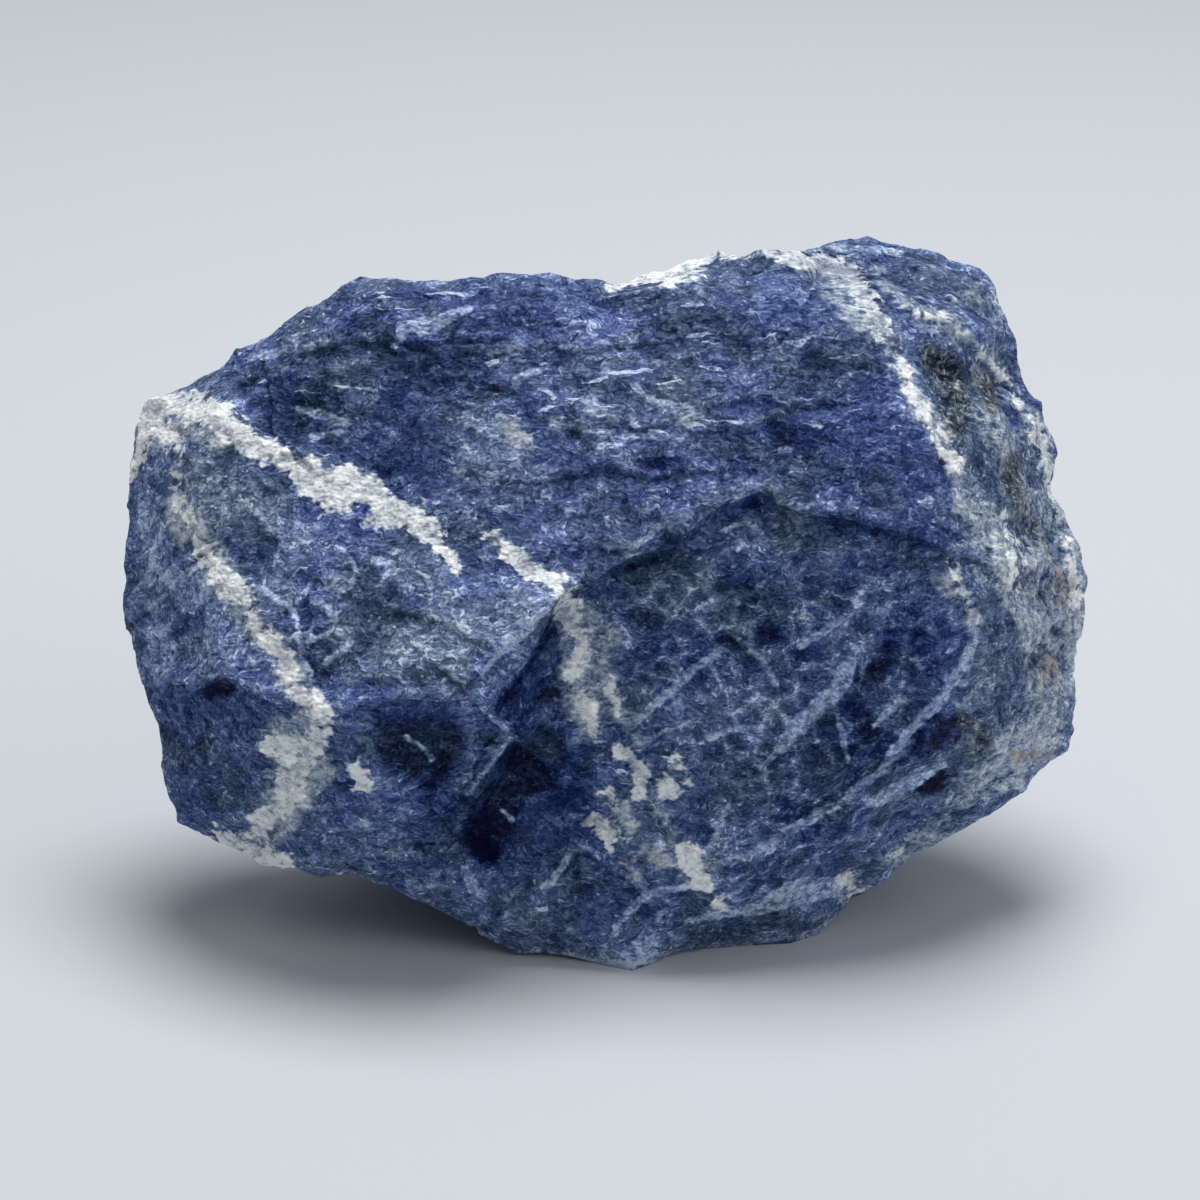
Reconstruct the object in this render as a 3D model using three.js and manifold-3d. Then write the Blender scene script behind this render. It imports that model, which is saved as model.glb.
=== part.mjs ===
// A rough lump of sodalite, about 62 mm across, standing on a small flat spot.
//
// The stone is drawn square-on to its broad face, on a grid: each point is [across, up, toward], where
// "toward" is the height of the surface toward the eye. One rim runs round the outline, and two sheets
// of landmarks, the broad face and the back, are stretched over it and sewn together along it. The
// closed form is then split finer, roughened along its normals, leaned back to the way it rests, and
// ground flat where it meets the surface it stands on.
//
// The part's frame is in millimetres with +Z up. The broad face looks along -Y, and the origin is on the
// resting flat.
import * as THREE from "three";
import { ImprovedNoise } from "three/addons/math/ImprovedNoise.js";
import { mergeVertices } from "three/addons/utils/BufferGeometryUtils.js";
import Module from "manifold-3d";

// Driving dimensions.
const WIDTH = 62; // mm, the stone's greatest width
const DRAWN_WIDTH = 97.4; // grid squares across the stone
const UNIT = WIDTH / DRAWN_WIDTH; // mm to a grid square
const LEAN = THREE.MathUtils.degToRad(22); // the broad face leans back by this much at rest
const REST_HEIGHT = 32.9; // squares from the drawing's origin down to the surface
const SIGHT = 388; // squares from the eye to the drawing: what stands nearer is drawn larger

// The rim, in squares: on each side two rings of points round it over, each so far inside the rim and
// so far toward the eye, or away from it.
const RIM_STEP = 2.4; // longest stretch between rim points
const CLEARANCE = 1.3; // the rings leave out points this close to a landmark
const FRONT_ROLL = [
  { inset: 0.9, rise: 1.6 },
  { inset: 2.6, rise: 3.4 },
];
const BACK_ROLL = [
  { inset: 0.6, rise: -3.2 },
  { inset: 1.9, rise: -7.5 },
];

// The facets, in squares.
const FRONT_FACET = 3.1; // longest edge on the broad face,
const BACK_FACET = 4.4; // and behind it
const BEHIND = -6; // what stands lower toward the eye than this counts as behind
const EASING = 4; // rounds that ease everything but the rim and the crisp edges
const EASING_STEP = 0.5; // share of the way to its neighbours' mean that a point moves in a round

// Roughness: each layer swells and dips by its height over lumps of its size, in squares.
const ROUGHNESS = [
  { size: 11, height: 0.9 },
  { size: 4.3, height: 0.5 },
  { size: 2.1, height: 0.25 },
];

// The outline, clockwise from the pale upper left corner.
const RIM = [
  // upper left shoulder, rising to the long top edge
  [-44.0, 20.4, -2],
  [-41.0, 21.5, -3],
  [-38.2, 23.3, -2],
  [-36.5, 25.3, -1],
  [-33.2, 27.0, 0],
  [-30.5, 29.0, 0],
  [-27.5, 30.5, 1],
  [-24.0, 32.3, 2],
  [-21.5, 32.7, 3],
  [-15.0, 32.3, 4],
  [-10.0, 32.5, 4],
  [-5.0, 32.4, 4],
  [0.0, 32.0, 3],
  [2.1, 31.9, 1],
  // the pale knob behind the crest
  [4.0, 32.5, -2],
  [6.5, 33.2, -4],
  [9.0, 34.4, -5],
  [11.8, 35.1, -5],
  [14.5, 34.8, -3],
  // the crest and the upper right block
  [16.5, 35.2, 0],
  [19.0, 35.0, 0],
  [20.5, 35.4, -3],
  [23.5, 35.7, -7],
  [27.5, 35.4, -9],
  [32.0, 34.9, -9],
  [35.5, 34.2, -8],
  [38.0, 33.1, -7],
  [39.8, 31.3, -7],
  [40.4, 29.5, -6],
  [41.3, 27.6, -6],
  [41.6, 25.0, -6],
  // the weathered right side
  [42.2, 22.3, -6],
  [43.4, 20.0, -6],
  [44.1, 17.6, -6],
  [45.5, 15.0, -7],
  [45.6, 11.0, -7],
  [46.6, 8.6, -7],
  [47.7, 5.3, -7],
  [48.3, 2.3, -7],
  [48.6, -2.0, -7],
  [48.0, -6.0, -7],
  [47.8, -9.0, -6],
  [46.8, -12.2, -6],
  [46.0, -14.6, -5],
  // the long lower right edge
  [44.0, -16.5, -5],
  [41.5, -18.8, -5],
  [38.1, -21.8, -5],
  [34.0, -24.0, -5],
  [31.2, -25.0, -5],
  [29.3, -26.6, -5],
  [26.6, -28.4, -5],
  [25.0, -30.0, -5],
  [23.8, -31.6, -5],
  [21.8, -33.3, -4],
  // the foot
  [19.0, -34.4, -2.5],
  [15.0, -34.7, -1.8],
  [10.5, -34.8, -1],
  [6.6, -35.7, 1],
  [3.2, -37.0, 3],
  [0.0, -36.3, 2],
  [-4.0, -35.6, 1],
  [-8.7, -35.5, 0.6],
  // the undercut lower left edge
  [-11.0, -34.0, 0.5],
  [-13.5, -32.6, 1],
  [-17.2, -30.8, 2],
  [-21.0, -29.2, 3],
  [-24.8, -27.7, 3],
  [-28.0, -27.8, 3],
  [-30.6, -26.9, 3],
  [-33.8, -26.6, 2],
  [-37.2, -25.0, 1],
  [-40.5, -23.7, 0],
  // the left side
  [-42.4, -22.3, 0],
  [-43.3, -19.7, 0],
  [-43.7, -16.4, 0],
  [-44.2, -12.4, 0],
  [-45.4, -10.4, 1],
  [-46.3, -6.8, 0],
  [-47.1, -2.5, -1],
  [-47.6, 3.5, -2],
  [-47.5, 8.0, -2],
  [-46.9, 11.5, -3],
  [-47.1, 13.2, -3],
  [-46.5, 16.5, -4],
  [-45.4, 19.8, -4],
];

// Crisp edges of the broad face.
const FRONT_EDGES = [
  // step along the pale vein, upper left: its top edge, then its foot on the upper face
  [-38.5, 18.6, 5],
  [-35.8, 17.3, 6.3],
  [-33.0, 15.8, 7.3],
  [-30.0, 14.6, 8.2],
  [-27.0, 13.2, 9],
  [-25.0, 12.0, 9.5],
  [-23.0, 10.6, 10],
  [-20.0, 9.4, 10.6],
  [-17.0, 8.5, 11],
  [-37.5, 20.2, 3],
  [-34.8, 18.9, 4.2],
  [-32.0, 17.5, 5.2],
  [-29.3, 16.4, 6.1],
  [-26.5, 15.2, 7],
  [-24.0, 13.9, 7.9],
  [-21.5, 12.5, 8.8],
  [-18.5, 11.0, 9.8],
  // brow under the left lobe
  [-43.8, -8.0, 5.5],
  [-40.5, -8.5, 10],
  [-37.2, -7.8, 13],
  [-35.0, -8.6, 14.1],
  [-33.0, -9.5, 15],
  [-30.5, -10.4, 16],
  [-28.0, -11.2, 17],
  [-25.5, -10.5, 18],
  [-22.8, -9.9, 18.6],
  [-20.0, -9.5, 19],
  [-17.5, -9.2, 19.3],
  [-15.0, -9.0, 19.5],
  [-12.2, -6.8, 19],
  // right edge of the lobe, then the lower edge of the band beneath it
  [-10.4, -5.6, 18.7],
  [-8.5, -4.2, 18.1],
  [-6.6, -2.6, 17.4],
  [-4.8, -0.9, 16.6],
  [-3.1, 1.2, 15.4],
  [-3.6, -1.4, 13.3],
  [-5.5, -4.2, 14.2],
  [-7.4, -6.9, 15],
  [-9.2, -9.3, 15.9],
  [-10.7, -10.0, 16.9],
  // the flake's point and the lower edge that runs back from it
  [-12.0, -11.0, 18.4],
  [-8.8, -13.7, 16.5],
  [-11.3, -16.3, 14],
  [-14.0, -20.1, 11.2],
  // foot of that edge, in the hollow
  [-7.6, -14.9, 9],
  [-10.2, -17.6, 8],
  [-12.8, -21.6, 6.6],
  // lip of the curved ledge, and its foot
  [0.0, 2.8, 13.8],
  [2.0, 3.8, 14],
  [4.0, 5.0, 14.3],
  [6.5, 5.6, 14.6],
  [8.3, 6.6, 14.8],
  [10.0, 7.9, 15],
  [12.5, 9.7, 15.3],
  [14.5, 10.8, 15.4],
  [16.8, 11.2, 15.4],
  [17.7, 10.1, 15],
  [1.0, 2.0, 13],
  [2.9, 3.0, 13.1],
  [4.8, 4.1, 13.3],
  [7.0, 4.7, 13.9],
  [8.9, 5.7, 14.2],
  [10.6, 7.1, 14.2],
  [13.2, 8.9, 14],
  [15.2, 9.7, 13.6],
  [17.0, 9.6, 13.9],
  // the crack that carries the ledge on to the right
  [20.2, 9.1, 14.9],
  [22.3, 8.7, 15],
  [24.5, 8.2, 14.9],
  [26.8, 7.6, 14.7],
  [29.1, 6.9, 14.4],
  [31.7, 6.0, 13.8],
  [34.3, 5.0, 13],
  [20.5, 8.4, 14.3],
  [22.5, 7.9, 14.4],
  [24.7, 7.4, 14.3],
  [26.9, 6.8, 14.1],
  [29.1, 6.1, 13.8],
  [31.6, 5.2, 13.3],
  [34.0, 4.2, 12.6],
  // crest in front of the pale knob
  [1.5, 31.2, 4],
  [4.0, 31.0, 5],
  [6.5, 31.2, 5.5],
  [9.0, 31.6, 5],
  [11.0, 32.6, 4.2],
  [13.5, 33.4, 2.5],
];

// Other landmarks of the broad face.
const FRONT = [
  // upper face
  [-30.0, 26.0, 4],
  [-22.0, 29.0, 6],
  [-12.0, 29.0, 7],
  [-2.0, 28.0, 7.5],
  [6.0, 27.5, 7.5],
  [-34.0, 22.0, 3.6],
  [-27.0, 20.5, 6],
  [-18.0, 22.5, 8.5],
  [-8.0, 23.5, 9.5],
  [2.0, 22.5, 10],
  [10.0, 25.5, 9],
  [14.5, 30.5, 7.5],
  [20.0, 27.5, 9.5],
  [18.0, 21.5, 11.5],
  [12.0, 17.5, 12],
  [5.0, 14.5, 12.5],
  [-2.0, 13.5, 12],
  [-10.0, 14.5, 11.5],
  [-18.0, 15.0, 9.4],
  [-10.0, 9.0, 12],
  [-4.0, 7.5, 13],
  [25.0, 17.5, 12.5],
  [30.0, 15.5, 12],
  [23.0, 12.0, 14],
  [32.0, 10.5, 12.8],
  // left lobe
  [-42.5, 17.0, 2.5],
  [-40.0, 12.0, 7],
  [-35.0, 6.0, 10],
  [-42.0, 4.0, 6],
  [-44.0, 0.0, 3.6],
  [-27.0, 5.5, 11.5],
  [-20.0, 4.0, 13],
  [-30.0, -2.0, 14],
  [-36.0, -2.0, 11],
  [-40.0, -5.0, 9],
  [-22.0, -4.0, 16.2],
  [-15.0, -2.0, 16.8],
  [-15.5, 5.0, 12.6],
  [-10.0, 1.0, 16],
  [-6.0, 3.0, 14.6],
  // face under the brow, with its shallow dish
  [-17.0, -13.5, 17],
  [-18.0, -16.5, 14],
  [-23.0, -16.0, 14],
  [-38.0, -11.5, 9],
  [-40.0, -16.0, 5],
  [-35.0, -16.0, 8.5],
  [-30.0, -17.0, 11],
  [-40.0, -21.0, 2.8],
  [-34.0, -22.0, 6],
  [-27.0, -23.0, 8],
  [-20.0, -24.0, 8],
  [-16.0, -26.0, 6],
  [-12.0, -30.0, 3.8],
  // dark hollow beside the lobe
  [-5.5, -9.0, 10],
  [-3.6, -5.5, 10.8],
  [-10.0, -24.5, 5],
  [-4.0, -20.0, 7.5],
  // centre vein
  [-11.5, 6.5, 13],
  [-1.5, 0.0, 12.8],
  [-1.0, -5.0, 12],
  [-1.5, -11.0, 10.5],
  // lower right face
  [5.0, -2.0, 12.8],
  [12.0, 0.0, 13.8],
  [20.0, 1.0, 14],
  [28.0, 0.0, 13.6],
  [35.0, -2.0, 12],
  [2.0, -10.0, 10.8],
  [10.0, -10.0, 12.5],
  [18.0, -9.0, 13],
  [26.0, -8.0, 12.6],
  [33.0, -9.0, 11],
  [4.0, -18.0, 9.3],
  [12.0, -19.0, 11],
  [20.0, -18.0, 10.9],
  [28.0, -17.0, 9],
  [36.0, -14.0, 6.5],
  [8.0, -26.0, 8],
  [15.0, -26.0, 8.4],
  [22.0, -25.0, 6],
  [28.0, -22.5, 4],
  [34.0, -19.5, 2],
  [12.0, -31.0, 4.5],
  [18.0, -31.0, 3],
  // middle of the foot
  [-6.0, -30.0, 5],
  [0.0, -30.0, 7],
  [3.2, -34.0, 5.5],
  [-4.0, -33.0, 4],
  // pale vein over the upper right: the crest where the stone turns away
  [20.0, 33.0, 4],
  [25.0, 30.0, 7.5],
  [28.0, 26.5, 9],
  [30.5, 22.5, 10],
  [33.0, 17.0, 11],
  [35.5, 12.0, 11.5],
  [37.5, 7.0, 11],
  [39.0, 1.0, 10],
  [40.0, -5.0, 8],
  [39.0, -11.0, 6],
  // the weathered side beyond it, with its dark hollow
  [33.0, 27.0, 5.5],
  [36.0, 23.0, 4],
  [38.5, 20.0, 4],
  [38.0, 26.5, 2.5],
  [39.0, 13.0, 6.5],
  [41.5, 16.0, 2.5],
  [42.0, 10.0, 5],
  [44.0, 4.0, 3.5],
  [45.0, -2.0, 1.5],
  [44.0, -9.0, 1.5],
  [41.5, -13.5, 2],
  // upper right block
  [28.5, 33.0, -2],
  [33.0, 31.5, -1.5],
  [30.0, 30.5, 2.5],
  [36.0, 30.5, -2.5],
  [38.0, 28.5, -1.5],
];

// Crisp edges of the back and the underside.
const BACK_EDGES = [
  // where the top breaks down into the back
  [-33.5, 17.0, -13],
  [-30.5, 19.8, -13.4],
  [-27.0, 19.2, -15.6],
  [-23.5, 22.4, -14.8],
  [-19.0, 23.6, -15.4],
  [-15.5, 21.4, -18],
  [-11.0, 23.8, -17.4],
  [-7.0, 26.4, -16.8],
  [-2.5, 25.2, -19.6],
  [2.0, 22.8, -22.4],
  [6.5, 24.4, -22],
  [11.0, 27.6, -20.4],
  [16.0, 28.6, -21],
  [20.5, 26.6, -23.6],
  [25.0, 27.0, -21.8],
  [29.0, 24.6, -21.4],
  [32.5, 21.6, -21],
  // where the left end breaks into the back
  [-35.0, 13.5, -14.6],
  [-37.5, 9.0, -14.2],
  [-36.0, 5.0, -16.4],
  [-38.0, 0.0, -14.8],
  [-34.5, -4.5, -17],
  [-34.0, -9.0, -16],
  [-30.0, -15.0, -17.2],
  [-25.5, -20.0, -18],
  // a ledge that runs slantwise down the back: its lip, then its foot
  [11.5, 19.5, -26],
  [9.4, 16.2, -27.2],
  [9.0, 12.0, -28.4],
  [5.6, 9.4, -28.4],
  [3.0, 6.2, -29],
  [1.8, 2.2, -29.6],
  [-2.0, 0.0, -28.8],
  [-4.2, -4.0, -28.8],
  [-4.6, -8.0, -28.8],
  [-8.0, -11.0, -27.5],
  [9.2, 20.4, -23.6],
  [7.0, 17.0, -24.6],
  [6.4, 13.4, -25.4],
  [3.2, 10.8, -25.4],
  [0.4, 7.4, -25.8],
  [-1.0, 3.6, -26.4],
  [-4.4, 1.4, -26],
  [-6.8, -2.8, -26],
  [-7.4, -7.0, -26.2],
  [-10.6, -10.0, -25],
  // where the right side breaks into the back
  [35.0, 18.0, -19.6],
  [36.0, 13.0, -21.6],
  [38.8, 8.5, -19.8],
  [37.6, 3.5, -21.6],
  [38.4, -2.0, -20],
  [34.6, -6.0, -21.8],
  [32.4, -11.5, -20.4],
  [27.5, -15.0, -21.2],
];

// Other landmarks of the back and the underside.
const BACK = [
  // top, falling away behind the crest
  [-38.0, 19.0, -9],
  [-29.0, 25.5, -8],
  [-19.0, 28.5, -8],
  [-9.0, 29.5, -8],
  [1.0, 30.0, -12],
  [11.0, 31.5, -16],
  [20.0, 31.5, -18],
  [29.0, 30.5, -17],
  [36.5, 26.0, -14],
  // left end
  [-43.0, 10.0, -10],
  [-43.5, 0.0, -10],
  [-40.0, -12.0, -9],
  // the broad back
  [-27.0, 11.0, -18],
  [-14.0, 15.0, -21],
  [-26.0, 0.0, -19.5],
  [-14.0, 3.0, -23.5],
  [-18.0, -12.0, -23],
  [20.0, 20.0, -26.5],
  [28.0, 12.0, -26],
  [18.0, 7.0, -29],
  [28.0, 0.0, -26.5],
  [13.0, -4.0, -30],
  [24.0, -8.0, -26.5],
  [6.0, -12.0, -29.5],
  // right side
  [43.5, 10.0, -14],
  [44.5, 0.0, -14],
  [41.0, -11.0, -13],
  // underside, rising to the left and the right
  [-35.0, -22.4, -9],
  [-25.0, -25.3, -10],
  [-18.0, -25.3, -16],
  [-18.5, -21.5, -22],
  [-14.0, -29.0, -8],
  [16.0, -16.0, -28],
  [33.0, -18.5, -13],
  [27.0, -22.5, -12],
  [22.0, -22.0, -20],
  // underside, a little below the surface that the stone is ground to
  [-8.5, -32.2, -8],
  [-7.0, -29.0, -15],
  [-4.0, -26.6, -22],
  [2.0, -26.0, -24],
  [12.0, -26.6, -23],
  [18.0, -29.6, -16],
  [20.0, -31.8, -9],
  [4.0, -31.6, -12],
  [12.0, -31.8, -11],
];

const noise = new ImprovedNoise();

// The points of a closed ring, with long stretches split evenly.
function spacedRing(ring, step) {
  return ring.flatMap((from, i) => {
    const to = ring[(i + 1) % ring.length];
    const parts = Math.ceil(Math.hypot(to[0] - from[0], to[1] - from[1]) / step);
    return Array.from({ length: parts }, (_, k) =>
      from.map((value, axis) => value + ((to[axis] - value) * k) / parts),
    );
  });
}

// A ring of points just inside a clockwise ring, raised by "rise".
function shoulderRing(ring, inset, rise) {
  return ring.map(([x, y, w], i) => {
    const [px, py] = ring[(i + ring.length - 1) % ring.length];
    const [nx, ny] = ring[(i + 1) % ring.length];
    const length = Math.hypot(nx - px, ny - py);
    return [x + ((ny - py) / length) * inset, y - ((nx - px) / length) * inset, w + rise];
  });
}

function isInside(x, y, ring) {
  let inside = false;
  ring.forEach(([ax, ay], i) => {
    const [bx, by] = ring[(i + 1) % ring.length];
    if (ay > y !== by > y && x < ax + ((bx - ax) * (y - ay)) / (by - ay)) inside = !inside;
  });
  return inside;
}

// Delaunay triangles of points in the plane (Bowyer and Watson's method), each wound anticlockwise.
function delaunay(points) {
  const FAR = 1e4;
  const all = [...points, [-FAR, -FAR], [FAR, -FAR], [0, FAR]];
  const count = points.length;
  const circled = (a, b, c) => {
    const [ax, ay] = all[a];
    const bx = all[b][0] - ax;
    const by = all[b][1] - ay;
    const cx = all[c][0] - ax;
    const cy = all[c][1] - ay;
    const d = 2 * (bx * cy - by * cx);
    const ux = (cy * (bx * bx + by * by) - by * (cx * cx + cy * cy)) / d;
    const uy = (bx * (cx * cx + cy * cy) - cx * (bx * bx + by * by)) / d;
    return { corners: [a, b, c], x: ax + ux, y: ay + uy, reach: ux * ux + uy * uy };
  };
  let found = [circled(count, count + 1, count + 2)];
  points.forEach(([x, y], i) => {
    const edges = new Map();
    found = found.filter((t) => {
      if ((x - t.x) ** 2 + (y - t.y) ** 2 >= t.reach) return true;
      t.corners.forEach((from, k) => {
        const to = t.corners[(k + 1) % 3];
        if (!edges.delete(`${to},${from}`)) edges.set(`${from},${to}`, [from, to]);
      });
      return false;
    });
    for (const [from, to] of edges.values()) found.push(circled(from, to, i));
  });
  return found.map((t) => t.corners).filter((corners) => corners.every((i) => i < count));
}

// One sheet stretched over the rim: its points, of which the rim and the edges are crisp, and its
// triangles.
function sheet(rim, roll, edges, landmarks) {
  const isClear = ([x, y]) =>
    [...edges, ...landmarks].every(([ex, ey]) => Math.hypot(x - ex, y - ey) > CLEARANCE);
  const rings = roll.flatMap(({ inset, rise }) => shoulderRing(rim, inset, rise)).filter(isClear);
  const points = [...rim, ...edges, ...rings, ...landmarks];
  const triangles = delaunay(points).filter((corners) => {
    const middle = (axis) => corners.reduce((sum, i) => sum + points[i][axis] / 3, 0);
    return isInside(middle(0), middle(1), rim);
  });
  return { points, triangles, crisp: points.map((_, i) => i < rim.length + edges.length) };
}

// The front sheet and the reversed back sheet as one closed form.
function sewn(rim, front, back) {
  const shift = front.points.length - rim.length;
  const onFront = (i) => (i < rim.length ? i : i + shift);
  return {
    points: [...front.points, ...back.points.slice(rim.length)],
    crisp: [...front.crisp, ...back.crisp.slice(rim.length)],
    triangles: [
      ...front.triangles,
      ...back.triangles.map(([a, b, c]) => [onFront(a), onFront(c), onFront(b)]),
    ],
  };
}

function isTooLong(a, b) {
  const longest = (a[2] + b[2]) / 2 < BEHIND ? BACK_FACET : FRONT_FACET;
  return Math.hypot(...a.map((v, axis) => v - b[axis])) > longest;
}

// Splits every edge that is too long at its middle, until none is left.
function refined(form) {
  const points = [...form.points];
  const crisp = [...form.crisp];
  let triangles = form.triangles;
  for (let splitting = true; splitting; ) {
    const middles = new Map();
    const middleOf = (a, b) => {
      const key = a < b ? `${a},${b}` : `${b},${a}`;
      if (!middles.has(key) && isTooLong(points[a], points[b])) {
        middles.set(key, points.push(points[a].map((v, axis) => (v + points[b][axis]) / 2)) - 1);
        crisp.push(crisp[a] && crisp[b]);
      } else if (!middles.has(key)) middles.set(key, -1);
      return middles.get(key);
    };
    splitting = false;
    triangles = triangles.flatMap((corners) => {
      const split = corners.map((a, k) => middleOf(a, corners[(k + 1) % 3]));
      const count = split.filter((m) => m >= 0).length;
      if (count === 0) return [corners];
      splitting = true;
      // Turn the triangle so that its first edge is split, and with two splits its last edge isn't.
      const turn = count === 2 ? (split.indexOf(-1) + 1) % 3 : split.findIndex((m) => m >= 0);
      const [a, b, c] = [0, 1, 2].map((k) => corners[(k + turn) % 3]);
      const [ab, bc, ca] = [0, 1, 2].map((k) => split[(k + turn) % 3]);
      if (count === 1) return [[a, ab, c], [ab, b, c]];
      if (count === 2) return [[a, ab, c], [ab, bc, c], [ab, b, bc]];
      return [[a, ab, ca], [ab, b, bc], [ca, bc, c], [ab, bc, ca]];
    });
  }
  return { points, triangles, crisp };
}

// Eases every point but the crisp ones toward the mean of its neighbours.
function eased({ points, triangles, crisp }) {
  const neighbours = points.map(() => new Set());
  for (const [a, b, c] of triangles) {
    neighbours[a].add(b).add(c);
    neighbours[b].add(c).add(a);
    neighbours[c].add(a).add(b);
  }
  let moved = points;
  for (let round = 0; round < EASING; round++) {
    const from = moved;
    moved = from.map((point, i) => {
      if (crisp[i]) return point;
      const near = [...neighbours[i]];
      return point.map((value, axis) => {
        const mean = near.reduce((sum, n) => sum + from[n][axis], 0) / near.length;
        return value + (mean - value) * EASING_STEP;
      });
    });
  }
  return { points: moved, triangles };
}

function geometryOf({ points, triangles }) {
  return new THREE.BufferGeometry()
    .setAttribute("position", new THREE.Float32BufferAttribute(points.flat(), 3))
    .setIndex(triangles.flat());
}

// Takes out the drawing's perspective: a point that stands nearer the eye was drawn larger.
function squared([across, up, toward]) {
  const shrink = 1 - toward / SIGHT;
  return [across * shrink, up * shrink, toward];
}

// Swells and dips the surface along its normals.
function roughen(geometry) {
  geometry.computeVertexNormals();
  const { position, normal } = geometry.attributes;
  const point = new THREE.Vector3();
  const along = new THREE.Vector3();
  for (let i = 0; i < position.count; i++) {
    point.fromBufferAttribute(position, i);
    along.fromBufferAttribute(normal, i);
    let height = 0;
    for (const layer of ROUGHNESS) {
      const at = point.clone().divideScalar(layer.size);
      height += layer.height * noise.noise(at.x, at.y, at.z);
    }
    point.addScaledVector(along, height);
    position.setXYZ(i, point.x, point.y, point.z);
  }
}

function solidOf(wasm, geometry) {
  const bare = new THREE.BufferGeometry()
    .setAttribute("position", geometry.getAttribute("position"))
    .setIndex(geometry.index);
  const merged = mergeVertices(bare, 1e-4);
  return new wasm.Manifold(
    new wasm.Mesh({
      numProp: 3,
      vertProperties: merged.attributes.position.array,
      triVerts: new Uint32Array(merged.index.array),
    }),
  );
}

function geometryFrom(solid) {
  const { vertProperties, triVerts } = solid.getMesh();
  return new THREE.BufferGeometry()
    .setAttribute("position", new THREE.BufferAttribute(vertProperties, 3))
    .setIndex(new THREE.BufferAttribute(triVerts, 1));
}

// Grinds the stone flat where it passes below the surface it stands on.
function groundFlat(wasm, geometry) {
  const depth = WIDTH / 2;
  const below = new THREE.BoxGeometry(2 * WIDTH, 2 * WIDTH, depth).translate(0, 0, -depth / 2);
  const bare = new THREE.BufferGeometry()
    .setAttribute("position", below.getAttribute("position"))
    .setIndex(below.index);
  return geometryFrom(solidOf(wasm, geometry).subtract(solidOf(wasm, bare)));
}

async function makeStone() {
  const wasm = await Module();
  wasm.setup();
  const rim = spacedRing(RIM, RIM_STEP);
  const front = sheet(rim, FRONT_ROLL, FRONT_EDGES, FRONT);
  const back = sheet(rim, BACK_ROLL, BACK_EDGES, BACK);
  const drawn = sewn(rim, front, back);
  const form = eased(refined({ ...drawn, points: drawn.points.map(squared) }));
  const geometry = geometryOf(form);
  roughen(geometry);
  // From the drawing's axes to the part's: across is +X, and the face leans back from looking along -Y.
  geometry.rotateX(Math.PI / 2 - LEAN).translate(0, 0, REST_HEIGHT).scale(UNIT, UNIT, UNIT);
  const stone = new THREE.Mesh(
    groundFlat(wasm, geometry),
    new THREE.MeshStandardMaterial({ color: 0x3a4d7c, roughness: 0.75, metalness: 0 }),
  );
  stone.name = "sodalite";
  return stone;
}

const part = new THREE.Group();
part.add(await makeStone());

export default part;
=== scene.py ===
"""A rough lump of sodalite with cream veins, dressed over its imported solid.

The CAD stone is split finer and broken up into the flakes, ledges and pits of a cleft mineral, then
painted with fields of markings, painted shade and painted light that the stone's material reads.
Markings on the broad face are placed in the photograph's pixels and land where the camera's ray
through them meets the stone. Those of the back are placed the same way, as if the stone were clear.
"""
import math
from itertools import product

import bpy
import numpy as np
from mathutils import Color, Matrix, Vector


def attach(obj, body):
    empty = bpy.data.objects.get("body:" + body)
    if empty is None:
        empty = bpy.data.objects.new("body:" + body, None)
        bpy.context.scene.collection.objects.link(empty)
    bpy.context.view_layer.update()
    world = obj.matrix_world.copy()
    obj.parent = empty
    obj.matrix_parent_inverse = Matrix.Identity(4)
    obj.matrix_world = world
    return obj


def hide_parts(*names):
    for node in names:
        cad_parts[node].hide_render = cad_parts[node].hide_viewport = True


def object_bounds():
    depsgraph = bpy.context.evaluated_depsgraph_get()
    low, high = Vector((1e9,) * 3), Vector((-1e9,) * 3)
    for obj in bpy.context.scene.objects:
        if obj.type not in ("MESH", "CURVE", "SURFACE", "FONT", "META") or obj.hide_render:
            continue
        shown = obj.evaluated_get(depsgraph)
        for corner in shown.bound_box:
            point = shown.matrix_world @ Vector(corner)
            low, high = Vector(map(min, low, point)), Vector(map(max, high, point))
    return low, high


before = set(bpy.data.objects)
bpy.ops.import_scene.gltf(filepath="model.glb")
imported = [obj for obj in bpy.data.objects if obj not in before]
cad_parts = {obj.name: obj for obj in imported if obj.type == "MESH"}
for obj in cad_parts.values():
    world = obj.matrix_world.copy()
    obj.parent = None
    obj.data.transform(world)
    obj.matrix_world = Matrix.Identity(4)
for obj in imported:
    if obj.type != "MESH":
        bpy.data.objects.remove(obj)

CAD_LOW, CAD_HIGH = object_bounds()
MM = 0.001

# The view. One grid square is the unit that the stone was drawn in, ten pixels at the origin's depth.
PICTURE = 1200
SQUARES_WIDE = 97.4  # the stone's width in grid squares
SQUARE = (CAD_HIGH.x - CAD_LOW.x) / SQUARES_WIDE
SIGHT = 388 * SQUARE  # from the eye to the point it looks at
AIM = Vector((0, 0, 32.9 * SQUARE))
LEAN = math.radians(22)  # the eye looks down by this much
PIXELS_A_SQUARE = 10
SENSOR = 36
FOCAL_PIXELS = PIXELS_A_SQUARE * SIGHT / SQUARE
MM_A_PIXEL = SQUARE / MM / PIXELS_A_SQUARE

NEAREST = 0.01  # metres from the eye: the camera sees nothing nearer

# The studio: a dome that is dim at the horizon and bright overhead, with softboxes under it.
DOME_COLOUR = (0.95, 0.975, 1.0, 1)
DOME_EDGE = 0.0
DOME_TOP = 0.35
SOFTBOXES = [((0.03, 0.10, 0.50), 0.30, 1.9), ((0.50, -0.30, 0.35), 0.40, 0.6)]  # (where, width, power)
FLOOR_SIDE = 6.0
FLOOR_COLOUR = (0.72, 0.76, 0.80, 1)
FLOOR_ROUGHNESS = 0.7

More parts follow.
